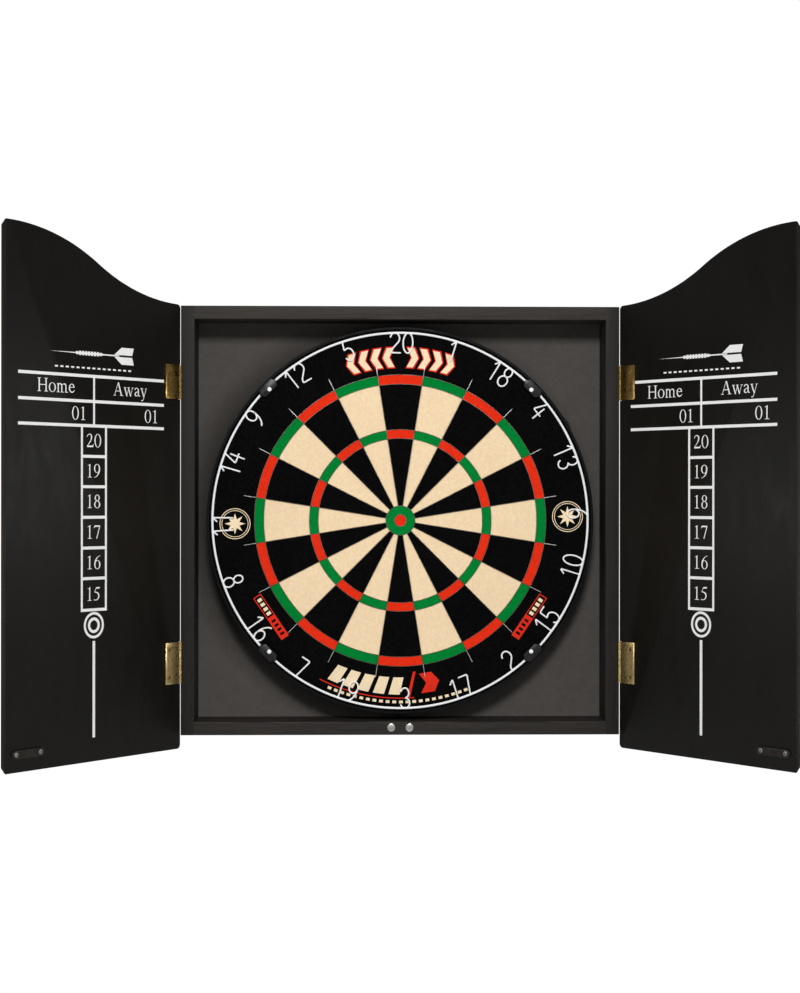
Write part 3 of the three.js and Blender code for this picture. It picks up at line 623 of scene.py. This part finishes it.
def leaf(place, parity, near, far):
    """A hinge leaf along +X from the pin, its plate between two levels of Y, screwed from +Y."""
    centre, height = HINGES[place]
    start = KNUCKLE_R + 0.4
    plate = bar((start, near, centre - height / 2), (LEAF_REACH, far, centre + height / 2))
    plate = eased(plate, 0.22, 2)
    bm = carved(plate, [screw_hole(2.66, shift(LEAF_SCREW_U, far, z)) for z in screw_heights(place)])
    pitch = height / 5
    for i in range(parity, 5, 2):
        low = centre - height / 2 + i * pitch + GAP / 2
        put(bm, knuckle(low, low + pitch - GAP, near, far))
    return bm


def build_hinges():
    for name, side in SIDES.items():
        on_side = shift(side * PIN_X, PIN_Y, 0) @ flipped(side > 0) @ turn(90, "Z")
        for place, (centre, height) in HINGES.items():
            label = f"hinge_{name}_{place}"
            # the lower hinges take the lighter copy of the brass: painted highlight
            tone = "brass" if place == "upper" else "brass_painted_lighter"
            piece(f"{label}_fixed_leaf", leaf(place, 0, -LEAF_T, 0), "cabinet", [tone],
                  [f"{label}_cabinet_leaf"], on_side)
            near = DOOR_FACE + GAP
            piece(f"{label}_swung_leaf", leaf(place, 1, near, near + LEAF_T), f"door_{name}",
                  [tone], [f"{label}_door_leaf"], door_place(side))
            half = height / 2
            pin = lathe([
                (0, -half), (PIN_R - 0.3, -half), (PIN_R, -half + 0.3), (PIN_R, half - 0.3),
                (PIN_R - 0.3, half), (0, half),
            ], 20)
            piece(f"{label}_rod", pin, "cabinet", ["brass_bright"], [f"{label}_pin"],
                  shift(side * PIN_X, PIN_Y, centre) @ turn(90, "X"))
            for i, z in enumerate(screw_heights(place)):
                piece(f"{label}_door_screw_{i + 1}", leaf_screw(), f"door_{name}",
                      ["brass_bright"], [f"{label}_screw_{i + 1}"],
                      door_place(side) @ shift(LEAF_SCREW_U, near + LEAF_T - SUNK, z))
                piece(f"{label}_side_screw_{i + 1}", leaf_screw(), "cabinet",
                      ["brass_bright"], (), on_side @ shift(LEAF_SCREW_U, 0, z))


# ---- doors
def door_outline(inset):
    """Outline of a door in (u, z), anticlockwise, drawn in by an equal distance all round. Two equal
    arcs make the S-shaped top; a corner keeps a small radius where the drawing in has used its own."""
    left, right = DOOR_HINGE_U, DOOR_HINGE_U + DOOR_WIDTH
    half_run, half_rise = OGEE_RUN / 2, (DOOR_HIGH_TOP - DOOR_LOW_TOP) / 2
    sweep = 2 * math.atan2(half_rise, half_run)
    radius = half_run / math.sin(sweep)
    degrees = math.degrees(sweep)
    least, big, small = 0.3, 5, 1.2

    def corner(x, z, full, start, steps):
        bend = max(full - inset, least)
        to_x = 1 if x == left else -1
        to_z = 1 if z == DOOR_BOTTOM else -1
        reach = inset + bend
        return arc(x + to_x * reach, z + to_z * reach, bend, bend, start, start + 90, steps)

    convex, hollow = radius - inset, radius + inset
    ogee = left + OGEE_RUN
    begin = min(ogee, right - max(small, inset + least) - least)
    start = 90 + math.degrees(math.asin((ogee - begin) / convex))
    upper = arc(ogee, DOOR_HIGH_TOP - radius, convex, convex, start, 90 + degrees, 40)
    lower = arc(left, DOOR_LOW_TOP + radius, hollow, hollow, degrees - 90, -90, 40)[1:-3]
    return (
        corner(left, DOOR_BOTTOM, big, 180, 10) + corner(right, DOOR_BOTTOM, small, 270, 5)
        + corner(right, DOOR_HIGH_TOP, small, 0, 5) + upper + lower
        + corner(left, DOOR_LOW_TOP, big, 90, 10)
    )


def door_panel():
    bm = bmesh.new()
    wear = bm.loops.layers.float.new("wear")
    loops = [
        [bm.verts.new((x, DOOR_FACE - depth, z)) for x, z in door_outline(inset)]
        for depth, inset in MOULDING
    ]
    for level, (here, there) in enumerate(zip(loops, loops[1:])):
        for face in band(bm, here, there):
            face.material_index = 1 if level > 0 else 0
            for loop in face.loops:
                loop[wear] = 0.8 if level in WORN_STEPS else 0
    bm.faces.new(loops[0][::-1])
    bm.faces.new(loops[-1])
    outward(bm)
    recesses, reliefs = [], []
    for centre, height in HINGES.values():
        half = height / 2 + GAP
        recess = lathe([(0, -half), (KNUCKLE_R + GAP, -half), (KNUCKLE_R + GAP, half), (0, half)], 40)
        recesses.append(moved(recess, shift(0, 0, centre) @ turn(90, "X")))
        reliefs.append(bar((DOOR_HINGE_U - 1, -DOOR_THICKNESS - 1, centre - half),
                           (DOOR_RELIEF_U, 1, centre + half)))
    return carved(carved(bm, reliefs), recesses)


def strike_plate():
    end = PLATE_WIDTH / 2
    half = PLATE_LENGTH / 2 - end
    outline = arc(half, 0, end, end, -90, 90, 14) + arc(-half, 0, end, end, 90, 270, 14)
    near = DOOR_FACE + GAP
    plate = eased(prism(outline, near, near + PLATE_T), 0.25, 2)
    return carved(plate, [screw_hole(2.76, shift(u, near + PLATE_T, 0)) for u in PLATE_SCREWS])


def build_doors():
    for name, side in SIDES.items():
        body = f"door_{name}"
        piece(f"door_board_{name}", door_panel(), body, ["door", "door_edge"], [body],
              door_place(side))
        at_plate = door_place(side) @ shift(PLATE_U, 0, PLATE_Z)
        piece(f"strike_bar_{name}", strike_plate(), body, ["dark_steel"],
              [f"strike_plate_{name}"], at_plate)
        front = DOOR_FACE + GAP + PLATE_T
        for i, u in enumerate(PLATE_SCREWS):
            piece(f"strike_{name}_fixing_{i + 1}", cross_screw(2.6, 1.15, 1.0, 9), body,
                  ["steel"], [f"strike_{name}_screw_{i + 1}"], at_plate @ shift(u, front - SUNK, 0))


# ---- lettering and scoreboard print
INK = 0.12
PRINT_MIDDLE_U = 127.5
# Type is drawn in thousandths of its size, EM, with STEM the width of an upright. WEIGHT thins it all.
EM, STEM, WEIGHT = 21.9, 92, 0.8


def units(*values):
    return [v / 1000 for v in values]


def poly(*points):
    return ("poly", [units(*point) for point in points])


def serif(x0, x1, z, up=True):
    x0, x1, z = units(x0, x1, z)
    depth = 0.026 if up else -0.026
    return ("poly", [(x0, z), (x1, z), (x1 - 0.03, z + depth), (x0 + 0.03, z + depth)])


def stem(x, z0, z1, width=STEM):
    x, z0, z1, width = units(x, z0, z1, width)
    width, thinned = width * WEIGHT, width * (1 - WEIGHT) / 2
    left, right = x + thinned, x + thinned + width
    return ("poly", [(left, z0), (right, z0), (right, z1), (left, z1)])


def slant(x0, z0, x1, z1, width):
    x0, z0, x1, z1, width = units(x0, z0, x1, z1, width)
    width = width * WEIGHT
    return ("poly", [(x0, z0), (x0 + width, z0), (x1 + width, z1), (x1, z1)])


def bowl(*sizes):
    """A closed round stroke, thick at the sides and thin above and below."""
    cx, cz, rx, rz, ix, iz = units(*sizes)
    return ("bowl", (cx, cz, rx, rz, rx - (rx - ix) * WEIGHT, rz - (rz - iz) * WEIGHT))


def pen(*points):
    """A curved stroke: (x, z, width) along its middle."""
    return ("pen", [(x, z, width * WEIGHT) for x, z, width in (units(*point) for point in points)])


SIX = [
    bowl(262, 212, 202, 226, 112, 196),
    pen((450, 668, 20), (310, 610, 40), (190, 500, 70), (115, 360, 88), (105, 220, 88)),
]
GLYPHS = {
    "0": (500, [bowl(250, 332, 218, 342, 132, 314)]),
    "1": (500, [stem(213, 10, 650, 86), serif(110, 410, 0), poly((105, 588), (213, 600), (299, 630),
        (299, 676), (285, 676))]),
    "2": (500, [pen((45, 500, 30), (85, 595, 45), (200, 655, 50), (315, 600, 80), (335, 490, 88),
        (280, 330, 65), (170, 190, 45), (50, 55, 35)), poly((30, 0), (425, 0), (475, 137), (455, 140),
        (400, 78), (60, 76))]),
    "5": (500, [poly((165, 592), (400, 592), (435, 668), (190, 660)), slant(70, 400, 165, 630, 35),
        pen((75, 410, 30), (200, 405, 60), (325, 330, 90), (362, 205, 92), (310, 85, 68), (200, 20, 42),
        (90, 20, 50), (40, 45, 55))]),
    "6": (500, SIX),
    "7": (500, [poly((30, 530), (50, 525), (110, 590), (440, 590), (440, 662), (85, 662)),
        slant(195, 0, 395, 620, 60)]),
    "8": (500, [bowl(250, 510, 165, 162, 85, 132), bowl(250, 178, 195, 190, 108, 158)]),
    "9": (500, "6"),
    "H": (720, [stem(98, 10, 650), stem(530, 10, 650), serif(20, 268, 0), serif(452, 700, 0),
        serif(20, 268, 662, False), serif(452, 700, 662, False), poly((150, 315), (570, 315), (570, 352),
        (150, 352))]),
    "o": (500, [bowl(250, 226, 220, 236, 132, 208)]),
    "m": (775, [stem(85, 10, 430, 80), serif(20, 235, 0), serif(280, 490, 0), serif(540, 755, 0),
        poly((15, 405), (120, 400), (165, 460), (150, 460)), pen((135, 360, 30), (200, 415, 45),
        (280, 420, 70), (345, 360, 80), (352, 200, 80), (352, 10, 80)), pen((385, 360, 30),
        (460, 415, 45), (545, 420, 70), (608, 360, 80), (618, 200, 80), (618, 10, 80))]),
    "e": (440, [pen((405, 140, 20), (330, 65, 50), (220, 35, 75), (110, 100, 90), (70, 225, 88),
        (100, 360, 65), (200, 438, 35), (305, 410, 60), (360, 310, 75), (363, 280, 70)), poly((80, 262),
        (400, 262), (400, 290), (80, 290))]),
    "A": (720, [slant(85, 10, 335, 660, 36), slant(535, 10, 318, 674, 100), serif(10, 220, 0),
        serif(450, 710, 0), poly((170, 215), (520, 215), (510, 250), (180, 250))]),
    "w": (720, [slant(195, -10, 45, 430, 85), slant(200, -10, 340, 400, 30),
        slant(455, -10, 300, 430, 85), slant(465, -10, 605, 430, 30), serif(0, 195, 450, False),
        serif(255, 440, 450, False), serif(545, 705, 450, False)]),
    "a": (440, [pen((65, 345, 70), (100, 410, 50), (185, 440, 40), (275, 400, 60), (305, 320, 80),
        (305, 120, 80), (345, 45, 55), (430, 50, 25)), pen((300, 280, 30), (190, 235, 45), (90, 170, 75),
        (85, 80, 80), (150, 35, 50), (230, 55, 35), (300, 110, 30))]),
    "y": (500, [slant(215, 0, 50, 430, 88), pen((410, 440, 32), (270, 40, 34), (210, -120, 36),
        (160, -185, 50), (80, -185, 65)), serif(0, 210, 450, False), serif(330, 475, 450, False)]),
}


def pen_outline(points):
    """The two edges of a curved stroke, smoothed through its points, as one closed outline."""
    control = [Vector(p) for p in points]
    control = [control[0] * 2 - control[1], *control, control[-1] * 2 - control[-2]]
    path = []
    for a, b, c, d in zip(control, control[1:], control[2:], control[3:]):
        for step in range(5):
            t = step / 5
            path.append(0.5 * (
                2 * b + (c - a) * t + (2 * a - 5 * b + 4 * c - d) * t * t
                + (3 * b - a - 3 * c + d) * t ** 3
            ))
    path.append(control[-2])
    one, other = [], []
    for i, point in enumerate(path):
        along = (path[min(i + 1, len(path) - 1)] - path[max(i - 1, 0)]).xy.normalized()
        reach = Vector((-along.y, along.x)) * point.z / 2
        one.append((point.xy + reach)[:])
        other.append((point.xy - reach)[:])
    return one + other[::-1]


def write(bm, text, x, z):
    """Sets a word in raised ink. x is its left end and z its base line, drawn facing +Y with the
    reading direction along +X; each stroke is a hair thicker than the one before, so that no two
    faces share a level."""
    level = 0
    for character in text:
        width, strokes = GLYPHS[character]
        upside_down = strokes == "6"
        for kind, shape in (SIX if upside_down else strokes):
            level += 1
            far = INK + 0.004 * (level % 8)

            def at(point):
                px, pz = point[0], point[1]
                if upside_down:
                    px, pz = 0.5 - px, 0.664 - pz
                return (x + px * EM, z + pz * EM)

            if kind == "bowl":
                cx, cz, rx, rz, ix, iz = shape
                put(bm, ribbon([at(p) for p in arc(cx, cz, rx, rz, 0, 350, 35)],
                               [at(p) for p in arc(cx, cz, ix, iz, 0, 350, 35)], 0, far))
            else:
                outline = pen_outline(shape) if kind == "pen" else shape
                put(bm, prism([at(p) for p in outline], 0, far))
        x += width / 1000 * EM
    return bm


def strip(bm, x0, x1, z0, z1, thicker=0.0):
    return put(bm, prism([(x0, z0), (x1, z0), (x1, z1), (x0, z1)], 0, INK + thicker))


def dart_print(bm, cx, cz, length):
    """A plain dart, pointing left: needle, barrel with grip rings, shaft and flights."""
    def across(share):
        return cx - length / 2 + length * share
    put(bm, prism([(across(0), cz), (across(0.3), cz - 0.55), (across(0.3), cz + 0.55)], 0, INK))
    for i in range(9):
        start = 0.305 + i * 0.035
        half = 2.3 if 0 < i < 8 else 1.7
        strip(bm, across(start), across(start + 0.024), cz - half, cz + half)
    strip(bm, across(0.3), across(0.62), cz - 1.2, cz + 1.2, 0.004)
    strip(bm, across(0.6), across(0.82), cz - 0.7, cz + 0.7, 0.008)
    for sign in (-1, 1):
        flight = [(across(0.76), cz + sign * 1.1), (across(0.98), cz + sign * 1.1),
                  (across(1.0), cz + sign * 9.5), (across(0.85), cz + sign * 9.5)]
        put(bm, prism(flight, 0, INK))


def scoreboard_print():
    """The score table, laid out from the middle of the door in the reading direction."""
    bm = bmesh.new()
    middle = -4.3
    left, right = -110.3, 101.4
    line = 1.65
    levels = (159.8, 132.1, 105.3)
    for z in levels:
        strip(bm, left, right, z - line, z + line)
    strip(bm, middle - 1.3, middle + 1.3, levels[2], levels[0], 0.004)
    rows = (105.3, 71.7, 38.4, 4.8, -28.9, -62.4, -97)
    half = 17.5
    for x in (middle - half, middle + half):
        strip(bm, x - 1.35, x + 1.35, rows[-1] - 1.6, rows[0], 0.008)
    for z in rows[1:]:
        strip(bm, middle - half - 1.35, middle + half + 1.35, z - 1.6, z + 1.6, 0.012)
    write(bm, "Home", -84.9, 140.2)
    write(bm, "Away", 23.6, 140.2)
    for x in (-36.6, 71.0):
        write(bm, "01", x, 111.3)
    for row, value in enumerate(("20", "19", "18", "17", "16", "15")):
        write(bm, value, middle - 0.5 * EM + (0 if row == 0 else -0.8), rows[row + 1] + 10.2)
    for outer, inner in ((14.5, 11.7), (8.6, 5.4)):
        put(bm, roundel(middle, -114, outer, inner, 0, INK))
    strip(bm, middle - 1.8, middle + 1.8, -237.4, -131.4)
    dart_print(bm, middle - 2, 184.5, 122)
    for i in range(15):
        x = -60 + i * 7.6
        strip(bm, x, x + 4.2, 167.6, 169.4)
    return bm


def build_prints():
    """The print reads along -X of a door seen from its inner face, on both doors alike."""
    reading = Matrix(((-1, 0, 0, 0), (0, 1, 0, 0), (0, 0, 1, 0), (0, 0, 0, 1)))
    for name, side in SIDES.items():
        middle = -side * PRINT_MIDDLE_U
        place = door_place(side, mirror=False) @ shift(middle, DOOR_FACE + 0.01, 0) @ reading
        piece(f"score_print_{name}", scoreboard_print(), f"door_{name}", ["print"],
              (), place)


# ---- dart board
SECTOR = 18
ARC_STEPS = 8


def sisal_face():
    """The bristle face, divided into the coloured beds of a standard board."""
    bm = bmesh.new()
    steps = 20 * ARC_STEPS
    back = BOARD_BACK_Y - BACKING - GAP
    radii = [BULL, OUTER_BULL, 56, TRIPLE[0], TRIPLE[1], 132, DOUBLE[0], DOUBLE[1], 196, SISAL_R - 0.8]
    levels = [(r, FACE_Y) for r in radii]
    levels += [(SISAL_R - 0.2, FACE_Y + 0.25), (SISAL_R, FACE_Y + 0.9), (SISAL_R, back)]
    rings = []
    for radius, y in levels:
        points = [polar(radius, 90 - SECTOR / 2 - i * 360 / steps) for i in range(steps)]
        rings.append([bm.verts.new((x, y, z)) for x, z in points])
    black, cream, red, green = range(4)
    bed = {0: (green, green), 3: (red, green), 6: (red, green)}
    bed.update({level: (black, cream) for level in (1, 2, 4, 5)})
    for level, (here, there) in enumerate(zip(rings, rings[1:])):
        for i, face in enumerate(band(bm, here, there)):
            odd = (i // ARC_STEPS) % 2 == 0
            face.material_index = bed.get(level, (black, black))[1 if odd else 0]
    core = bm.faces.new(rings[0])
    core.material_index = red
    bm.faces.new(rings[-1])
    return outward(bm)


def ridge(radius, half, height):
    """Section of a wire ring: a rounded ridge standing on the sisal."""
    base = FACE_Y - 0.02
    return [(radius + half * c, base - height * s) for c, s in
            ((-1, 0), (-0.75, 0.55), (-0.3, 0.95), (0.3, 0.95), (0.75, 0.55), (1, 0))]


def spider():
    bm = bmesh.new()
    for radius in (*DOUBLE, *TRIPLE, OUTER_BULL):
        put(bm, hoop(ridge(radius, 0.42, 0.9), 200))
    base, half, height = FACE_Y - 0.02, 0.46, 1.15
    for sector in range(20):
        for start, end, index in ((OUTER_BULL, DOUBLE[1], 0), (DOUBLE[1] + 0.02, BLADE_END, 1)):
            blade = prism([(start, -half), (end, -half), (end, half), (start, half)],
                          base - height, base, index)
            for vert in blade.verts:
                if vert.co.y < base - height / 2:
                    vert.co.z *= 0.6 if index else 0.3
                    vert.co.x -= 1.6 if vert.co.x == BLADE_END else 0
            put(bm, blade, round_board(sector * SECTOR + SECTOR / 2))
    return bm


def polar_patch(r0, r1, a0, a1, lean=0.0, steps=6):
    """A patch bent round the board between two radii and two angles; lean shifts its inner edge."""
    inner = [polar(r0, a0 + lean + (a1 - a0) * i / steps) for i in range(steps + 1)]
    outer = [polar(r1, a0 + (a1 - a0) * i / steps) for i in range(steps + 1)]
    return inner + outer[::-1]


def chevron(r0, r1, angle, half, lean):
    """An arrow shape bent round the board, its point towards smaller angles when lean is positive."""
    middle = (r0 + r1) / 2
    return [
        polar(r1, angle + half), polar(r1, angle - half), polar(middle, angle - half - lean),
        polar(r0, angle - half), polar(r0, angle + half), polar(middle, angle + half - lean),
    ]


def label(sign, start, end, half):
    """Outline of a stretch of a slanting label, between two shares of its length."""
    top, foot = Vector((sign * 167, -88)), Vector((sign * 134, -136.5))
    along = (foot - top).normalized()
    wide = Vector((-along.y, along.x)) * 5.2 * half
    p, q = top.lerp(foot, start), top.lerp(foot, end)
    return [(p - wide)[:], (q - wide)[:], (q + wide)[:], (p + wide)[:]]


def board_print():
    """Plain ornament in the places where a board usually carries print: bands of arrow shapes above
    and below, a roundel on each side and two slanting labels. Index 0 is cream and 1 is red."""
    bm = bmesh.new()
    near = FACE_Y - 0.06

    def ink(outline, index, lift=0.0):
        put(bm, prism(outline, near - lift, FACE_Y - 0.005, index))

    for k in range(4):
        for sign in (-1, 1):
            angle = 90 + sign * (3.4 + k * 4.3)
            ink(chevron(177.5, 203, angle, 1.55, 1.7 * sign * -1), 1)
            ink(chevron(179, 201.5, angle, 1.15, 1.7 * sign * -1), 0, 0.02)
    for k in range(5):
        start = 258.5 - 13.2 + k * 5.2
        ink(polar_patch(183, 203, start, start + 3.7, 1.4), 0)
    ink(polar_patch(177, 206.5, 272.2, 273.2, 2.6), 1)
    ink(chevron(180, 203, 279.2, 2.3, -2.2), 1)
    for k in range(3):
        ink(polar_patch(206.6, 207.7, 243 + k * 10.5, 253.5 + k * 10.5), 1)
    for k in range(22):
        start = 246.5 + k * 2.1
        ink(polar_patch(210, 213.2, start, start + 1.2, 0, 2), 0)
    for x, z in ((-192.5, -3.9), (195.2, 4.7)):
        for outer, inner in ((18, 17.1), (15.6, 14.9)):
            put(bm, roundel(x, z, outer, inner, near, FACE_Y - 0.005))
        star = [
            (x + r * math.cos(math.radians(a)), z + r * math.sin(math.radians(a)))
            for i in range(8) for r, a in ((12.2, 90 + 45 * i), (5.4, 112.5 + 45 * i))
        ]
        ink(star, 0)
    for sign in (-1, 1):
        ink(label(sign, 0, 0.5, 1), 1)
        ink(label(sign, 0.5, 1, 1), 1)
        for k in range(4):
            ink(label(sign, 0.07 + k * 0.105, 0.135 + k * 0.105, 0.5), 0, 0.04)
    return bm


def label_windows():
    """The dark half of each slanting label, and the dark bars on its red half."""
    bm = bmesh.new()
    stretches = [(0.02, 0.49, 0.82)] + [(0.57 + k * 0.1, 0.62 + k * 0.1, 0.5) for k in range(4)]
    for sign in (-1, 1):
        for stretch in stretches:
            put(bm, prism(label(sign, *stretch), FACE_Y - 0.08, FACE_Y - 0.01))
    return bm


def build_board():
    piece("bristle_disc", sisal_face(), "dart_board", ["black", "cream", "red", "green"],
          ["sisal_face"])
    piece("board_ornament", board_print(), "dart_board", ["ink_cream", "ink_red"])
    piece("label_windows", label_windows(), "dart_board", ["black"])
    inner = BOARD_R - BAND
    front = FACE_Y - BAND_PROUD
    rim = hoop([
        (inner, front + 0.5), (inner + 0.5, front), (BOARD_R - 0.7, front), (BOARD_R - 0.2, front + 0.2),
        (BOARD_R, front + 0.8), (BOARD_R, BOARD_BACK_Y - 0.6), (BOARD_R - 0.6, BOARD_BACK_Y),
        (inner, BOARD_BACK_Y),
    ], 240)
    piece("rim_hoop", rim, "dart_board", ["rim"], ["rim_band"])
    piece("blade_frame", spider(), "dart_board", ["blade", "blade_end"], ["spider"])
    piece("bull_wire", hoop(ridge(BULL, 0.42, 0.9), 60), "dart_board", ["steel"], ["bull_ring"])
    keep("board_backing", "backing")
    keep("board_hub", "bracket")


# ---- number ring and its clips
def digit_strokes(digit):
    """Strokes of a digit in a cell one unit wide and high: (points, closed)."""
    def loop(x, z, rx, rz):
        return (arc(x, z, rx, rz, 0, 345, 23), True)

    def line(*points):
        return (list(points), False)

    return {
        "0": [loop(0, 0.5, 0.44, 0.5)],
        "1": [line((-0.24, 0.78), (0.1, 1), (0.1, 0))],
        "2": [line(*arc(0, 0.73, 0.42, 0.27, 165, -40, 14), (-0.3, 0.2), (-0.38, 0.03), (0.45, 0))],
        "3": [line(*arc(0, 0.75, 0.36, 0.25, 160, -80, 14), *arc(0, 0.25, 0.42, 0.25, 80, -160, 14))],
        "4": [line((0.08, 1), (-0.44, 0.34), (0.46, 0.34)), line((0.2, 0.72), (0.2, 0))],
        "5": [line((0.36, 1), (-0.28, 1), (-0.34, 0.56), *arc(0, 0.31, 0.42, 0.31, 115, -150, 16))],
        "6": [loop(0, 0.29, 0.4, 0.29), line(*arc(0.38, 0.3, 0.78, 0.7, 180, 105, 9))],
        "7": [line((-0.42, 0.99), (0.4, 0.99), (0.02, 0))],
        "8": [loop(0, 0.27, 0.42, 0.27), loop(0, 0.77, 0.34, 0.23)],
        "9": [loop(0, 0.71, 0.4, 0.29), line(*arc(-0.38, 0.7, 0.78, 0.7, 0, -75, 9))],
    }[digit]


def number_ring():
    bm = wire(arc(0, 0, RING_R, RING_R, 0, 358.5, 239), RING_Y, RING_WIRE, True, 14)
    for position, value in enumerate(NUMBERS):
        centre = 90 - position * SECTOR + STRAY[position]
        top_out = math.sin(math.radians(centre)) > -0.05
        digits = str(value)
        for i, digit in enumerate(digits):
            along = (i - (len(digits) - 1) / 2) * DIGIT_PITCH
            swing = math.degrees(along / (RING_R - DIGIT_H / 2))
            angle = math.radians(centre - swing if top_out else centre + swing)
            outwards = Vector((math.cos(angle), math.sin(angle)))
            up = outwards if top_out else -outwards
            right = Vector((up.y, -up.x))
            foot = outwards * (RING_R - (DIGIT_H if top_out else 0))
            for points, closed in digit_strokes(digit):
                path = [foot + right * x * DIGIT_W + up * z * DIGIT_H for x, z in points]
                put(bm, wire(softened(path, 1.8, closed), RING_Y, DIGIT_WIRE, closed))
    return bm


def clip():
    """A black clip: a foot on the rim and a six-sided roof over the wire, ribbed on top."""
    inner, outer, half = 212, 223.5, 13
    middle = (inner + outer) / 2
    plan = [(inner, -half + 4), (middle, -half), (outer, -half + 4), (outer, half - 4),
            (middle, half), (inner, half - 4)]
    bm = eased(prism(plan, ROOF_BACK_Y - ROOF, ROOF_BACK_Y), 0.45, 3, 25)
    put(bm, bar((220.8, ROOF_BACK_Y - 0.5, -half + 5), (outer, FACE_Y - BAND_PROUD - GAP, half - 5)))
    for k in range(4):
        z = 3.2 + k * 1.9
        rib = bar((214.5, ROOF_BACK_Y - ROOF - 0.28, z), (221.5, ROOF_BACK_Y - ROOF + 0.2, z + 0.8))
        put(bm, eased(rib, 0.15, 2))
    return bm


def clip_pin():
    seat = ROOF_BACK_Y - ROOF - GAP
    return lathe([
        (0, seat - 0.8), (1.2, seat - 0.78), (2.0, seat - 0.6), (2.4, seat - 0.3), (2.5, seat),
        (1.1, seat), (1.1, seat + 1.4), (0, seat + 1.4),
    ], 28)


def build_ring():
    piece("number_wires", number_ring(), "number_ring", ["wire"], ["number_ring"], None, 50)
    for i, angle in enumerate(CLIP_ANGLES):
        at = round_board(angle)
        piece(f"clip_body_{i + 1}", clip(), "dart_board", ["clip"],
              [f"ring_clip_{i + 1}"], at)
        piece(f"clip_stud_{i + 1}", clip_pin(), "dart_board", ["wire"],
              [f"ring_clip_pin_{i + 1}"], at @ shift(215.5, 0, 0))


# ---- bracket and levelling wheels
def levelling_wheel():
    count, seat = 96, WHEEL_BACK_Y
    outline = [
        polar(WHEEL_R - GRIP_DEPTH / 2 * (1 - math.cos(2 * math.pi * GRIPS * i / count)), 360 * i / count)
        for i in range(count)
    ]
    bm = eased(prism(outline, seat - WHEEL_T, seat), 0.5, 3, 60)
    put(bm, lathe([(0, seat - 1), (STUD_R, seat - 1), (STUD_R, STUD_END_Y), (0, STUD_END_Y)], 24))
    return bm


def build_bracket():
    keep("wall_bracket", "bracket")
    for i, angle in enumerate(ARMS):
        x, z = polar(WHEEL_REACH, angle)
        piece(f"thumbwheel_{i + 1}", levelling_wheel(), f"levelling_wheel_{i + 1}",
              ["bracket"], [f"levelling_wheel_{i + 1}"], shift(x, 0, z))
        keep(f"bracket_screw_{i + 1}", "steel")


# ---- stage
def build_camera():
    lens, yaw, pitch, roll = 65.93, -1.318, 0.009, 0.051
    data = bpy.data.cameras.new("camera")
    data.lens, data.sensor_width, data.clip_end = lens, 36, 50
    camera = linked("camera", data)
    camera.matrix_world = (
        Matrix.Translation((-0.04927, -2.17204, 0.02761))
        @ turn(yaw, "Z") @ turn(90 + pitch, "X") @ turn(roll, "Z")
    )
    bpy.context.scene.camera = camera


def area_light(name, place, aim, size, watts):
    data = bpy.data.lights.new(name, "AREA")
    data.shape, data.size, data.energy = "SQUARE", size, watts
    light = linked(name, data)
    light.location = place
    light.rotation_euler = (Vector(aim) - Vector(place)).to_track_quat("-Z", "Y").to_euler()


def build_stage():
    """A bull hangs 1.73 m above the floor, so that is where the floor is."""
    low, half, thickness = -1.73, 3.6, 0.02
    slab = bar((-half, -half, low - thickness), (half, half, low))
    mesh = bpy.data.meshes.new("floor")
    slab.to_mesh(mesh)
    slab.free()
    mesh.materials.append(looks["floor"])
    floor = linked("floor", mesh)
    floor.visible_diffuse = False

    world = bpy.data.worlds.new("studio")
    bpy.context.scene.world = world
    world.use_nodes = True
    tree = world.node_tree
    direction = tree.nodes.new("ShaderNodeTexCoord")
    split = tree.nodes.new("ShaderNodeSeparateXYZ")
    fade = tree.nodes.new("ShaderNodeMapRange")
    for i, value in enumerate((0.55, 0.9, 0.26, 1.02)):
        fade.inputs[i + 1].default_value = value
    tree.links.new(direction.outputs["Generated"], split.inputs[0])
    tree.links.new(split.outputs["Y"], fade.inputs[0])
    tree.links.new(fade.outputs[0], tree.nodes["Background"].inputs["Strength"])
    tree.nodes["Background"].inputs["Color"].default_value = (1, 1, 1, 1)
    area_light("key_light", (-0.05, -2.5, 1.15), (0, 0, 0), 0.45, 44)
    area_light("gleam_left", (-0.7, -0.45, -0.02), (0.3, -0.12, -0.02), 0.26, 1.5)
    area_light("gleam_right", (0.7, -0.45, -0.02), (-0.3, -0.12, -0.02), 0.26, 1.8)
    area_light("floor_wash", (0, 0, -0.8), (0, 0, -1.8), 5, 45)
    view = bpy.context.scene.view_settings
    view.view_transform = "Standard"
    view.look = "None"


# ---- assembly
build_camera()
build_carcass()
build_hinges()
build_doors()
build_prints()
build_board()
build_ring()
build_bracket()
build_stage()
